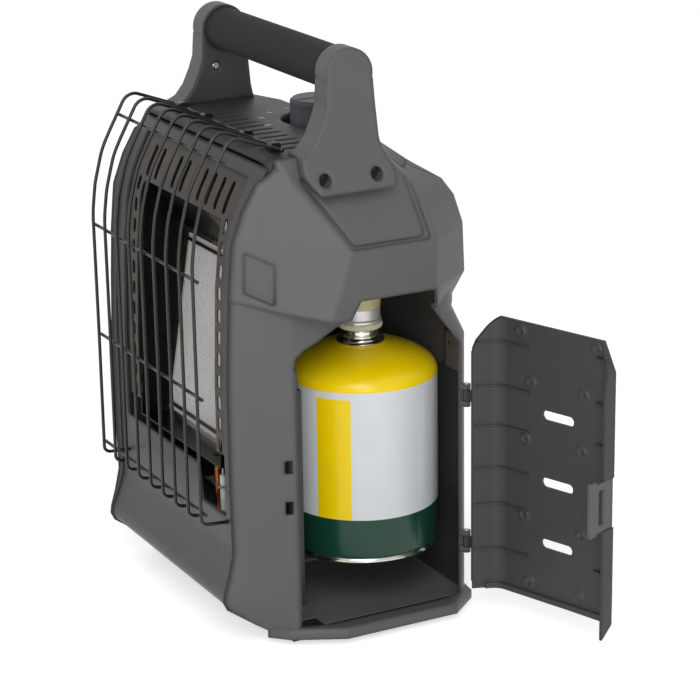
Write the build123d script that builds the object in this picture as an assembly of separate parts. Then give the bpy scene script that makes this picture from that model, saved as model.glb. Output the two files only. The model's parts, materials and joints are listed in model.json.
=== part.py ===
from build123d import *
import os
from math import atan2, cos, degrees, radians, sin, tan

os.makedirs("parts", exist_ok=True)

# Portable gas cabinet heater. Millimetres. +Z up, floor at z = 0, burner faces -Y,
# gas cartridge and its door on the +X side. The origin is on the floor under the middle.

# ---- overall sizes ----
TOP_Z = 342.0  # top panel
BASE_Z = 5.0  # underside of the casing, on its feet
BODY_HALF = 127.5  # half width over the hood and the base lips
FRAME_HALF = BODY_HALF - 30.0  # half width of the front frame
SIDE_HALF = BODY_HALF - 10.5  # half width of the lower sides
FRONT_Y = -87.5  # flat middle of the front
REAR_Y = 97.0  # back of the casing
CORNER_R = 30.0  # rear corners of the lower body
WALL = 2.5  # moulded shells
SHEET = 1.0  # folded sheet metal
SEAM = 0.4  # visible gap between neighbouring shells
FIT = 0.05  # radial clearance of a running fit
EASE = 0.3  # clearance between seated pieces

# ---- screws and small rows ----
COVER_SCREW_ZS = (30.0, 110.0, 190.0)
COVER_SCREW_R = 1.5
COVER_SCREW_HEAD_R = 3.2
TUBE_SCREW = (-2.0, 368.0)  # y and z
TUBE_SCREW_R = 1.5
TUBE_SCREW_HEAD_R = 2.8
TUBE_SCREW_SINK = 3.0
GRIP_SOCKET = 1.5  # how far the grip enters each support
TOP_SLOTS = 13
TOP_SLOT_PITCH = 12.0
TOP_SLOT_LENGTH = 24.0
LOUVRES = 4
LOUVRE_LENGTH = 80.0
LOUVRE_PITCH = 9.0
LOUVRE_ZS = (50.0, 262.0)  # lowest slot of each group
NUT_GROOVES = 24

# ---- casing shape ----
SKIRT_Z = 38.0  # lowest front edge of the front frame
LEDGE_Z = 280.0  # height where the hood starts to lean in
NOTCH_Z = 229.0  # groove between hood and lower body at the back
NOTCH_DEPTH = 6.3
NOTCH_DROP = 8.0  # the groove lies this much lower on the lower body
LIP_TOP = 12.5  # top of the base lips
FACET_LEAN = 28.5 / (TOP_Z - LEDGE_Z)  # sideways lean of the hood per mm
ARCH_TOP = 246.0  # top of the cartridge opening
JAMB_FRONT = -41.0  # front edge of the cartridge opening
JAMB_REAR = 84.5
RECESS = 3.2  # depth of the groove round the panel under the handle foot
PANEL_SINK = 1.4  # depth of that panel
TILE_RECESS = 2.2  # depth of the small square panel on the hood

# ---- base ----
TRAY_Z = 8.0  # top of the floor plate
LIP_OUT = (  # plan outline of the right base lip
    (SIDE_HALF - 7.0, -50.0), (BODY_HALF, -15.0), (BODY_HALF, 72.0), (SIDE_HALF - 9.0, REAR_Y - 1.5),
)
FOOT_XS = (BODY_HALF - 55.5, BODY_HALF - 23.5)
FOOT_YS = ((-46.0, -26.0), (52.0, 72.0))
REAR_HALF = BODY_HALF - 39.5  # half width of the rear cover
COVER_SCREW_X = REAR_HALF - 6.0
HEAD_Z = TOP_Z - 17.0  # lower edge of the top panel at the back
LAP_Y = 45.0  # the rear cover lies behind this
LAP_T = 2.5  # flange of the side shells behind the rear cover
BEAD = 1.2  # least setback of the front frame behind the edges of the side shells
FRAME_SETBACK = 5.0  # setback of the front frame beside its window
LINER_TOP = 172.0

# ---- cartridge ----
CAN_R = 54.0
CAN_X, CAN_Y = SIDE_HALF - 59.5, 35.0
CAN_BOTTOM = 47.0
CAN_RIM = 3.0
CAN_SHOULDER = 173.0  # end of the straight wall
CAN_NECK = 194.3  # where the valve cup starts
CAN_WALL = 0.5
CUP_R = 16.3
CUP_H = 4.5
THREAD_R = 5.556
THREAD_LENGTH = 8.0
PITCH = 0.907
UNSCREW_TURNS = 8
LINER_X = CAN_X - CAN_R - 5.5
LINER_Y = CAN_Y - CAN_R - 3.0
LINER_STEP_X = CAN_X + 16.5  # the front wall steps forward beside the burner
LINER_STEP_Y = LINER_Y - 14.0
LINER_STEP_END = CAN_X + 33.5

# ---- regulator above the cartridge ----
NUT_R = 15.0
NUT_H = 6.0
SEAL_R = 15.6
SEAL_H = 4.0
CONNECTOR_R = 14.2
CONNECTOR_H = 11.0
NECK_R = 14.5
REGULATOR_R = 21.0
REGULATOR_Z = 236.0
REGULATOR_H = 24.0

# ---- door ----
HINGE_X, HINGE_Y = SIDE_HALF - 3.7, REAR_Y - 8.8
DOOR_OPEN = 109.4  # degrees from closed, as it stands at rest
DOOR_FACE = SIDE_HALF + 1.0  # outer face when closed
DOOR_EDGE = -36.5  # free edge when closed
DOOR_BOTTOM, DOOR_TOP = 24.0, 223.0
DOOR_WALL = 2.2
DOOR_BEND = 66.0  # where the flat ends and the curve towards the hinge starts
DOOR_CURVE = 31.0
DOOR_HEEL = 34.0  # degrees of curve
RETURN_DEPTH = 11.0
RETURN_TIP = 13.5
PIN_R = 1.5
KNUCKLE_R = 2.9
KNUCKLE_H = 7.6
EAR_H = 4.0
HINGE_ZS = (44.0, 153.0)  # lower ends of the two hinges
SLOT_Y = 9.8
SLOT_ZS = (67.0, 112.0, 160.5)
SLOT_LENGTH, SLOT_HEIGHT = 27.0, 7.0
RIB_ZS = (53.3, 87.0, 113.7, 144.5, 173.6, 205.2)
RIB_T = 1.2
RIB_START = 34.5
TROUGH_Y = 54.0  # where the door's inner face starts to bend towards the cartridge
TROUGH_R = 13.0
TROUGH_TURN = 52.0  # degrees
TROUGH_RUN = 13.0  # straight part after the bend
TROUGH_WALL = 1.8

# ---- latch ----
LATCH_Z = 111.0  # middle
LATCH_H = 35.0
LATCH_REACH = 25.0
LATCH_T = 2.0
LATCH_BAR = 7.0
LATCH_BAR_H = 39.0
LATCH_BARREL_R = 1.4
LATCH_PIN_R = 0.7
CATCH_ZS = (97.0, 126.5)  # lower ends
CATCH_H = 9.5
FLANGE_REACH = 10.5  # width of the flange behind the latch

# ---- handle ----
GRIP_Y, GRIP_Z = 5.0, 395.0
GRIP_R = 15.0
GRIP_HALF = FRAME_HALF - 10.5
SUPPORT_HEAD_R = 17.0
SUPPORT_T = 17.0
TUBE_R = 9.0
TUBE_DEPTH = 10.0
FOOT_T = 5.0
FOOT_BOTTOM = 319.0
HANDLE_SCREWS = ((-20.0, 328.0), (18.5, 328.0))  # y and z of each screw
SCREW_HEAD_R = 4.4
SCREW_R = 2.0

# ---- wire guard ----
WIRE_R = 1.2
GUARD_HALF = FRAME_HALF - 13.5
GUARD_WIRES = 9
GUARD_Y = FRONT_Y - 15.5  # flat front of the guard
GUARD_BOTTOM = 91.5
CROSS_ZS = (99.5, 182.0, 264.0, 343.0)
CROSS_OVERHANG = 2.5
TAIL = 8.0  # hook at the foot of the inner wires
TAIL_FALL = 1.0
CLIP_HALF = 3.0

# ---- burner ----
WINDOW_HALF = FRAME_HALF - 15.0
WINDOW_BOTTOM, WINDOW_TOP = 119.0, 329.0
STEP_BOTTOM = 94.0
STEP_X = WINDOW_HALF - 45.0  # where the window's lower edge drops to the step
CAVITY_HALF = WINDOW_HALF - 17.5
CAVITY_BOTTOM, CAVITY_TOP = 124.0, 298.0
PANEL_LOW = 136.0
VENT_RECESS = 2.5
VENT_SLOTS = 10
VENT_SLOT_PITCH = 13.9
VENT_SLOT = (21.5, 5.0)  # length and width
VENT_SLOT_Z = 311.5
OVALS = 11
OVAL_PITCH = 15.3
OVAL = (10.2, 5.0)
OVAL_X = CAVITY_HALF + 6.0
OVAL_Z = 141.5  # middle of the lowest oval
PLAQUE_HALF = CAVITY_HALF - 3.0
PLAQUE_H = 134.0
PLAQUE_T = 13.0
PLAQUE_Y, PLAQUE_Z = -59.6, 124.8  # lower front edge
PLAQUE_TILT = 9.1  # degrees, the top leans back
PLENUM = 7.0
BURNER_RIM = 4.0
MIXER_Y, MIXER_Z = -52.0, 104.0
MIXER_R = 8.0
MIXER_START = -PLAQUE_HALF - 16.0
JET_X = -FRAME_HALF + 5.5
JET_SIZE = 12.0
STAND_Y = -42.0
IGNITER_X, THERMO_X = PLAQUE_HALF - 11.0, PLAQUE_HALF - 20.0
PROBE_R = 2.2
PROBE_Y = -71.0

# ---- gas valve and knob ----
KNOB_X, KNOB_Y = 0.0, 35.0
KNOB_R = 20.0
KNOB_BOTTOM, KNOB_TOP = 336.0, 357.0
KNOB_FLUTES = 24
KNOB_TRAVEL = 5.0
DISH_R = 27.0
DISH_DEPTH = 12.0
HUB_HOLE_R = 8.0
STEM_R = 4.0
BONNET_T = 2.0
VALVE_R = 14.0
VALVE_H = 36.0
ROTOR_R = 8.0
ROTOR_H = 22.0
SPRING_R = 6.5
PIPE_R = 3.0
SWITCH_X, SWITCH_Y, SWITCH_H = -52.0, 13.0, 20.0


def front_profile():
    """Side outline (y, z) of the front, from the base to the top panel."""
    return [
        (FRONT_Y + 33.5, BASE_Z),
        (FRONT_Y + 16.5, BASE_Z + 11),
        (FRONT_Y - 6.0, SKIRT_Z - 6),
        (FRONT_Y - 9.0, SKIRT_Z),
        (FRONT_Y - 8.2, SKIRT_Z + 6),
        (FRONT_Y - 4.5, SKIRT_Z + 18),
        (FRONT_Y - 0.8, SKIRT_Z + 34),
        (FRONT_Y - 1.5, SKIRT_Z + 74),
        (FRONT_Y - 1.5, LEDGE_Z - 97),
        (FRONT_Y + 1.0, LEDGE_Z - 28),
        (FRONT_Y + 5.0, LEDGE_Z + 10),
        (FRONT_Y + 13.0, TOP_Z - 31),
        (FRONT_Y + 23.0, TOP_Z - 14),
        (FRONT_Y + 34.0, TOP_Z),
    ]


def between(points, z):
    """Value at height z on a list of (value, z) points."""
    for (v0, z0), (v1, z1) in zip(points, points[1:]):
        if z <= z1:
            return v0 + (v1 - v0) * (z - z0) / (z1 - z0)
    return points[-1][0]


def front_y(z):
    return between(front_profile(), z)


def mirrored(right):
    """Closed plan outline from its right half, listed front to back."""
    return right + [(-x, y) for x, y in reversed(right)]


def inset(points, gaps):
    """Outline moved inwards by one gap for each corner. The points run counter-clockwise."""
    moved = []
    corners = zip(points[-1:] + points, points, points[1:] + points[:1], gaps)
    for (x0, y0), (x1, y1), (x2, y2), gap in corners:
        first = (Vector(x1 - x0, y1 - y0)).normalized()
        second = (Vector(x2 - x1, y2 - y1)).normalized()
        middle = Vector(-first.Y - second.Y, first.X + second.X).normalized()
        reach = gap / (middle.X * -first.Y + middle.Y * first.X)
        moved.append((x1 + middle.X * reach, y1 + middle.Y * reach))
    return moved


def plan_face(points, radii, z, gap=0.0):
    """Face at height z with rounded corners, inset by gap."""
    if gap:
        points = inset(points, [gap] * len(points))
    corners = [max(radius - gap, 0.5) for radius in radii]
    line = FilletPolyline(*[(x, y, z) for x, y in points], radius=corners, close=True)
    return make_face(line)


def prism(plane, points, amount, radius=0.0):
    """Polygon on a plane, corners rounded by radius, extruded by amount."""
    if radius:
        outline = make_face(FilletPolyline(*points, radius=radius, close=True))
    else:
        outline = make_face(Polyline(*points, close=True))
    return extrude(plane * outline, amount)


def along_x(points, x0, x1, radius=0.0):
    """Side outline (y, z) extruded from x0 to x1."""
    return prism(Plane.YZ.offset(x0), points, x1 - x0, radius)


def along_y(points, y0, y1, radius=0.0):
    """Front outline (x, z) extruded from y0 to y1."""
    return prism(Plane.XZ.offset(-y0), points, y0 - y1, radius)


def along_z(points, z0, z1, radius=0.0):
    """Plan outline (x, y) extruded from z0 to z1."""
    return prism(Plane.XY.offset(z0), points, z1 - z0, radius)


def block(x, y, z):
    """Box from its (low, high) pairs."""
    size = (x[1] - x[0], y[1] - y[0], z[1] - z[0])
    return Pos((x[0] + x[1]) / 2, (y[0] + y[1]) / 2, (z[0] + z[1]) / 2) * Box(*size)


def rod(start, direction, radius, length):
    """Cylinder from a start point along a direction."""
    return extrude(Plane(origin=start, z_dir=direction) * Circle(radius), length)


def ring(start, direction, outer, inner, length):
    return rod(start, direction, outer, length) - rod(start, direction, inner, length)


def bent_tube(points, radii, radius):
    """Round wire or pipe along straight runs joined by tangent arcs."""
    path = FilletPolyline(*points, radius=radii)
    start = Plane(origin=path @ 0, z_dir=path % 0)
    return sweep(start * Circle(radius), path=path)


# ---- casing skin ----
def lower_outline(z):
    """Right half of the lower body's plan outline at height z."""
    notch = between([(0.0, NOTCH_Z - 26), (NOTCH_DEPTH, NOTCH_Z - NOTCH_DROP)], max(z, NOTCH_Z - 26))
    return [
        (FRAME_HALF, front_y(z)),
        (SIDE_HALF - 7.0, JAMB_FRONT - 2.5),
        (SIDE_HALF - notch, -20.0),
        (SIDE_HALF - notch, REAR_Y - notch),
    ]


def hood_outline(z):
    """Right half of the hood's plan outline at height z."""
    half = BODY_HALF - FACET_LEAN * max(0.0, z - LEDGE_Z)
    crease = [(-31.0, NOTCH_Z - 14), (-19.0, ARCH_TOP), (-7.0, LEDGE_Z), (-50.0, TOP_Z)]
    corner = [(56.0, LEDGE_Z), (54.0, LEDGE_Z + 20), (30.0, TOP_Z)]
    back_x = [
        (BODY_HALF - 30.5, ARCH_TOP), (BODY_HALF - 33.0, LEDGE_Z), (BODY_HALF - 34.5, LEDGE_Z + 20),
        (BODY_HALF - 38.5, LEDGE_Z + 31), (BODY_HALF - 47.5, TOP_Z - 17), (BODY_HALF - 58.5, TOP_Z),
    ]
    back_y = [
        (REAR_Y, LEDGE_Z), (REAR_Y - 6, LEDGE_Z + 20), (REAR_Y - 13, LEDGE_Z + 31),
        (REAR_Y - 35, TOP_Z - 17), (REAR_Y - 57, TOP_Z),
    ]
    notch = min(1.0, max(0.0, ARCH_TOP - z) / (ARCH_TOP - NOTCH_Z)) * NOTCH_DEPTH
    front_x = FRAME_HALF - 6.0 * max(0.0, z - TOP_Z + 11) / 11
    return [
        (front_x, front_y(z)),
        (half, between(crease, z)),
        (half - notch, between(corner, max(z, LEDGE_Z))),
        (between(back_x, max(z, ARCH_TOP)) - notch, between(back_y, max(z, LEDGE_Z)) - notch),
    ]


def lower_solid(gap):
    levels = [z for y, z in front_profile() if z < LEDGE_Z - 50]
    levels += [NOTCH_Z - 26, NOTCH_Z - NOTCH_DROP, ARCH_TOP + 16]
    if gap:
        levels[0] -= WALL
        levels[-1] -= WALL
    radii = (1.5, 4, 10, CORNER_R, CORNER_R, 10, 4, 1.5)
    return loft([plan_face(mirrored(lower_outline(z)), radii, z, gap) for z in levels], ruled=True)


def hood_edge(rise):
    """Side outline of everything below the hood's lower edge, raised by rise."""
    far = -110.0
    return [
        (far, ARCH_TOP + 14 + rise),
        (-51.0, ARCH_TOP - 5 + rise),
        (-25.0, ARCH_TOP - 11.3 + rise),
        (-17.0, ARCH_TOP - 12.3 + rise),
        (-8.0, ARCH_TOP - 12.3 + rise),
        (-5.0, ARCH_TOP - 7 + rise),
        (-1.0, ARCH_TOP + rise),
        (56.0, ARCH_TOP + rise),
        (62.0, NOTCH_Z + rise),
        (78.0, NOTCH_Z + rise),
        (92.0, NOTCH_Z - NOTCH_DROP + rise),
        (110.0, NOTCH_Z - NOTCH_DROP + rise),
        (110.0, NOTCH_Z - 30),
        (far, NOTCH_Z - 30),
    ]


def hood_solid(gap):
    upper = [z for y, z in front_profile() if z > LEDGE_Z]
    levels = [NOTCH_Z - 14, NOTCH_Z, ARCH_TOP, LEDGE_Z] + sorted(upper + [LEDGE_Z + 20, TOP_Z - 17])
    if gap:
        levels[-1] -= WALL
    radii = (1.5, 7, 8, 6, 6, 8, 7, 1.5)
    solid = loft([plan_face(mirrored(hood_outline(z)), radii, z, gap) for z in levels], ruled=True)
    reach = BODY_HALF + 10
    return solid - along_x(hood_edge(gap), -reach, reach)


def facet_pocket(depth, grow, inner=0.0):
    """Recess in the hood's leaning side, under and around the handle foot, or smaller by inner."""
    x = BODY_HALF - FACET_LEAN * (TOP_Z - LEDGE_Z)
    lean = degrees(atan2(FACET_LEAN, 1.0))
    facet = Plane(origin=(x, 0, TOP_Z), x_dir=(0, 1, 0), z_dir=(cos(radians(lean)), 0, sin(radians(lean))))
    down = (TOP_Z - LEDGE_Z) / cos(radians(lean))
    low, high = 1.5 - down - grow + inner * 0.75, 2 - down * 0.2
    outline = [
        (-6 - grow + inner * 0.5, low), (54 + grow - inner, low),
        (46 + grow - inner, high), (-36 - grow + inner * 0.5, high),
    ]
    return prism(facet.offset(-depth), outline, depth + 20, 4.0)


def tile_pocket(depth, grow):
    """Shallow square recess on the hood's flared front."""
    outline = [
        (-75 - grow, 256 - grow), (-56 + grow, 246 - grow),
        (-55 + grow, 274 + grow), (-74 - grow, 284 + grow),
    ]
    start, end = (FRAME_HALF, front_y(LEDGE_Z)), (BODY_HALF, -7.0 - 6.0)
    run = Vector(end[0] - start[0], end[1] - start[1]).normalized()
    side = Vector(run.Y, -run.X)
    near = Vector(*start) - side * depth
    far = near + run * 60
    band = [(near.X, near.Y), ((near + side * 12).X, (near + side * 12).Y),
            ((far + side * 12).X, (far + side * 12).Y), (far.X, far.Y)]
    return along_x(outline, FRAME_HALF - 8, BODY_HALF + 5, 1.5) & along_z(band, 200, 320)


def casing_solid(gap):
    """Outer form of the casing (gap 0) or its hollow (gap = wall)."""
    pocket = facet_pocket(RECESS + gap, gap)
    pocket -= facet_pocket(RECESS + gap, 0.0, 4.5 + gap) - facet_pocket(PANEL_SINK + gap, 1.0)
    tile = tile_pocket(TILE_RECESS + gap, gap)
    cuts = pocket + mirror(pocket, Plane.YZ) + tile + mirror(tile, Plane.YZ)
    return lower_solid(gap) + hood_solid(gap) - cuts


CASING = casing_solid(0.0)
SKIN = CASING - casing_solid(WALL)
FAR = 200.0


def flip(shape):
    """The same shape on the other side."""
    return mirror(shape, Plane.YZ)


def both(shape):
    return shape + flip(shape)


# ---- casing pieces ----
def opening_outline():
    """Side outline (y, z) of the cartridge opening."""
    low = LIP_TOP
    return [
        (JAMB_FRONT - 2.5, low), (JAMB_FRONT - 2.5, NOTCH_Z - 29), (JAMB_FRONT - 1.5, NOTCH_Z - 21.5),
        (-35.5, NOTCH_Z - 15.5), (-25.0, NOTCH_Z - 11), (-14.5, NOTCH_Z - 5.5), (-4.0, NOTCH_Z),
        (1.0, ARCH_TOP - WALL), (56.0, ARCH_TOP - WALL), (62.5, NOTCH_Z), (JAMB_REAR - 2, DOOR_TOP - 22.5),
        (JAMB_REAR, DOOR_TOP - 25), (JAMB_REAR, low),
    ]


def side_shell():
    """Closed right side with its base lip, before anything is cut into it."""
    front = FRAME_HALF + SEAM / 2
    rear = REAR_HALF + SEAM / 2
    region = block((front, FAR), (-FAR, FAR), (0, TOP_Z + 1))
    region += block((rear, FAR), (LAP_Y, FAR), (0, HEAD_Z - SEAM / 2))
    lip = along_z([(front, -62.0)] + list(LIP_OUT) + [(front, REAR_Y)], BASE_Z, LIP_TOP)
    rim = lip.faces().sort_by(Axis.Z)[-1].edges().filter_by(lambda edge: edge.center().X > front + 1)
    lip = chamfer(rim, 1.5)
    lip -= lower_solid(WALL)
    lap = block((rear - 12, rear + 6), (REAR_Y - WALL - LAP_T, REAR_Y - WALL), (20, NOTCH_Z - 30))
    lap -= block((0, rear), (REAR_Y - WALL - EASE, FAR), (0, FAR))
    shell = (SKIN & region) + lip + lap
    for z in COVER_SCREW_ZS:
        shell -= rod((COVER_SCREW_X, FAR, z), (0, -1, 0), COVER_SCREW_R + FIT, FAR)
    for y, z in HANDLE_SCREWS:
        shell -= rod((BODY_HALF, y, z), (-1, 0, 0), SCREW_R + FIT, BODY_HALF)
    return shell


def hinge_ears(z):
    """Two ears on the rear corner that hold a hinge pin."""
    centre = (SIDE_HALF - CORNER_R, REAR_Y - CORNER_R)
    turn = degrees(atan2(HINGE_Y - centre[1], HINGE_X - centre[0]))
    out = Vector(HINGE_X - centre[0], HINGE_Y - centre[1]).length
    web = Pos(centre[0], centre[1], 0) * Rot(0, 0, turn) * block((CORNER_R - 1, out), (-2, 2), (0, EAR_H))
    ear = Pos(HINGE_X, HINGE_Y, EAR_H / 2) * Cylinder(KNUCKLE_R, EAR_H) + web
    ear -= Pos(HINGE_X, HINGE_Y, EAR_H / 2) * Cylinder(PIN_R + FIT, EAR_H + 1)
    return Pos(0, 0, z) * ear + Pos(0, 0, z + EAR_H + 2 * EASE + KNUCKLE_H) * ear


def catch_tip():
    """How far back the catch noses reach, just clear of the swinging latch."""
    reach = Vector(HINGE_X - DOOR_FACE + LATCH_REACH, HINGE_Y - DOOR_EDGE - BEAD / 2).length
    return HINGE_Y - reach - EASE


def right_side_shell():
    shell = side_shell()
    shell -= along_x(opening_outline(), 60, FAR)
    raised = [(y, z + 3.5) for y, z in opening_outline()[6:10]]
    base = [(raised[-1][0], NOTCH_Z - 5), (raised[0][0], NOTCH_Z - 5)]
    shell -= along_x(raised + base, 60, BODY_HALF - WALL - 0.1)
    inner = SIDE_HALF - 8 - FLANGE_REACH
    shell += block((inner, SIDE_HALF - 8), (JAMB_FRONT - 2.5, JAMB_FRONT), (LIP_TOP, NOTCH_Z - 30))
    for z in CATCH_ZS:
        shell -= block((SIDE_HALF - 19, FAR), (JAMB_FRONT - 10, JAMB_FRONT - 4.5), (z, z + CATCH_H))
        shell += block((inner + 2, inner + 4.5), (JAMB_FRONT, catch_tip()), (z, z + CATCH_H))
    for z in HINGE_ZS:
        shell += hinge_ears(z)
    return shell


def left_side_shell():
    return flip(side_shell())


def front_band(behind, thick):
    """Two side outlines of a curved sheet that follows the front, some way behind the front frame's face."""
    back = [(0.0, BASE_Z), (0.0, TOP_Z)]
    outline = back + list(reversed(front_profile()))
    radii = [0, 0, 14, 30, 60, 60, 40, 0, 0, 30, 30, 3, 3, 5, 5, 0]
    most = FRAME_SETBACK
    setbacks = [BEAD, BEAD, BEAD, most * 0.7, most * 0.9, most, most, most, most, most * 0.9, most * 0.7]
    setbacks += [most / 2] * 3 + [BEAD, BEAD]
    faces = []
    for extra in (behind, behind + thick):
        points = inset(outline, [setback + extra for setback in setbacks])
        faces.append(make_face(FilletPolyline(*points, radius=radii, close=True)))
    return faces


def band_part(behind, thick, half, low, high):
    outer, inner = front_band(behind, thick)
    sheet = extrude(Plane.YZ.offset(-half) * (outer - inner), 2 * half)
    return sheet & block((-half, half), (-FAR, front_y(TOP_Z) - SEAM / 2), (low, high))


def window_outline():
    """Front outline (x, z) of the window, with its step at the lower right."""
    return [
        (-WINDOW_HALF, WINDOW_BOTTOM), (STEP_X, WINDOW_BOTTOM), (STEP_X + 5.0, STEP_BOTTOM),
        (WINDOW_HALF, STEP_BOTTOM), (WINDOW_HALF, WINDOW_TOP), (-WINDOW_HALF, WINDOW_TOP),
    ]


def wire_xs():
    step = 2 * GUARD_HALF / (GUARD_WIRES - 1)
    return [-GUARD_HALF + step * i for i in range(GUARD_WIRES)]


def front_frame():
    frame = band_part(0.0, WALL, FRAME_HALF - SEAM / 2, 0, FAR * 2)
    frame -= along_y(window_outline(), -FAR, -40, 2.0)
    for x in (wire_xs()[0], wire_xs()[-1]):
        frame -= rod((x, FRONT_Y - 20, GUARD_BOTTOM - TAIL_FALL * 0.8), (0, 1, 0), WIRE_R + EASE, 40)
    return frame


def upright_slot(size):
    """Cutter for a slot that stands upright in the front."""
    return Rot(90, 0, 0) * extrude(SlotOverall(*size, rotation=90), 40, both=True)


def vent_panel():
    """Metal sheet behind the window with its slots and oval holes."""
    panel = band_part(VENT_RECESS, SHEET, WINDOW_HALF - EASE, PANEL_LOW, WINDOW_TOP - EASE)
    low = PANEL_LOW - 1
    panel -= along_y([
        (-CAVITY_HALF, low), (CAVITY_HALF, low), (CAVITY_HALF, CAVITY_TOP), (-CAVITY_HALF, CAVITY_TOP),
    ], -FAR, -40, 5.0)
    for i in range(VENT_SLOTS):
        x = (i - (VENT_SLOTS - 1) / 2) * VENT_SLOT_PITCH
        panel -= Pos(x, FRONT_Y, VENT_SLOT_Z) * upright_slot(VENT_SLOT)
    for i in range(OVALS):
        hole = Pos(OVAL_X, FRONT_Y, OVAL_Z + OVAL_PITCH * i) * upright_slot(OVAL)
        panel -= both(hole)
    return panel


def top_panel():
    half = FRAME_HALF - SEAM / 2
    panel = SKIN & block((-half, half), (front_y(TOP_Z) + SEAM / 2, FAR), (HEAD_Z + SEAM / 2, TOP_Z + 1))
    panel += rod((KNOB_X, KNOB_Y, TOP_Z - DISH_DEPTH - WALL), (0, 0, 1), DISH_R + WALL, DISH_DEPTH + WALL)
    panel -= rod((KNOB_X, KNOB_Y, TOP_Z - DISH_DEPTH), (0, 0, 1), DISH_R, DISH_DEPTH + 1)
    panel -= rod((KNOB_X, KNOB_Y, TOP_Z - 30), (0, 0, 1), HUB_HOLE_R, 30)
    for i in range(TOP_SLOTS):
        x = (i - (TOP_SLOTS - 1) / 2) * TOP_SLOT_PITCH
        long = extrude(Plane.XY.offset(TOP_Z - 10) * SlotOverall(TOP_SLOT_LENGTH, 3.0, rotation=90), 20)
        short = extrude(Plane.XY.offset(TOP_Z - 10) * SlotOverall(TOP_SLOT_LENGTH / 2, 3.0, rotation=90), 20)
        panel -= Pos(x, -19, 0) * long
        if i:
            panel -= Pos(x - TOP_SLOT_PITCH / 2, -37, 0) * short
    return panel


def rear_cover():
    half = REAR_HALF - SEAM / 2
    cover = SKIN & block((-half, half), (LAP_Y, FAR), (TRAY_Z + 2 * EASE, HEAD_Z - SEAM / 2))
    cover -= block((-half, half), (0, REAR_Y - 60), (0, FAR * 2))
    for z in COVER_SCREW_ZS:
        hole = rod((COVER_SCREW_X, FAR, z), (0, -1, 0), COVER_SCREW_R + FIT, FAR)
        cover -= both(hole)
    for i in range(LOUVRES):
        for z in LOUVRE_ZS:
            slot = extrude(Plane.XZ * SlotOverall(LOUVRE_LENGTH, 4.0), FAR, both=True)
            cover -= Pos(0, FAR + LAP_Y, z + LOUVRE_PITCH * i) * slot
    return cover


def base_tray():
    radii = (1, 4, 10, CORNER_R, CORNER_R, 10, 4, 1)
    plate = plan_face(mirrored(lower_outline(BASE_Z)), radii, BASE_Z, WALL + EASE)
    return extrude(plate, TRAY_Z - BASE_Z)


def compartment_liner():
    """Sheet metal walls and floor around the cartridge."""
    low = TRAY_Z + EASE
    right, rear = SIDE_HALF - 12.0, REAR_Y - WALL - LAP_T - EASE
    tub = block((LINER_X, right), (LINER_Y, rear), (low, LINER_TOP))
    tub += block((LINER_STEP_X, LINER_STEP_END), (LINER_STEP_Y, LINER_Y), (low, LINER_TOP))
    tub -= block((LINER_X + SHEET, right + 1), (LINER_Y + SHEET, rear - SHEET), (low + SHEET, LINER_TOP + 1))
    tub -= block((LINER_STEP_X + SHEET, right + 1), (LINER_STEP_Y + SHEET, LINER_Y + 2 * SHEET),
                 (low + SHEET, LINER_TOP + 1))
    radii = (1, 4, 10, CORNER_R, CORNER_R, 10, 4, 1)
    inside = plan_face(mirrored(lower_outline(LINER_TOP)), radii, 0, WALL + EASE)
    return tub & extrude(inside, LINER_TOP + 1)


def feet():
    blocks = []
    for y0, y1 in FOOT_YS:
        for x0, x1 in (FOOT_XS, (-FOOT_XS[1], -FOOT_XS[0])):
            foot = block((x0, x1), (y0, y1), (0, BASE_Z))
            blocks.append(chamfer(foot.faces().sort_by(Axis.Z)[0].edges(), 1.0))
    return Compound(blocks)


# ---- handle ----
def support_outline():
    """Side outline (y, z) of a handle support below its round head."""
    return [
        (GRIP_Y - SUPPORT_HEAD_R, GRIP_Z - 4), (GRIP_Y - 18, GRIP_Z - 21), (GRIP_Y - 21, TOP_Z + 23),
        (GRIP_Y - 26, TOP_Z + 12), (GRIP_Y - 32, TOP_Z + 4.5), (GRIP_Y - 38, TOP_Z + 1), (-34.0, TOP_Z - 10),
        (-29.0, FOOT_BOTTOM + 5), (-25.0, FOOT_BOTTOM), (29.0, FOOT_BOTTOM), (32.0, FOOT_BOTTOM + 3.5),
        (32.0, TOP_Z - 11), (29.0, TOP_Z - 5), (26.5, TOP_Z + 3), (GRIP_Y + 20, GRIP_Z - 43),
        (GRIP_Y + SUPPORT_HEAD_R + 1, GRIP_Z - 20), (GRIP_Y + SUPPORT_HEAD_R, GRIP_Z - 4),
    ]


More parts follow.
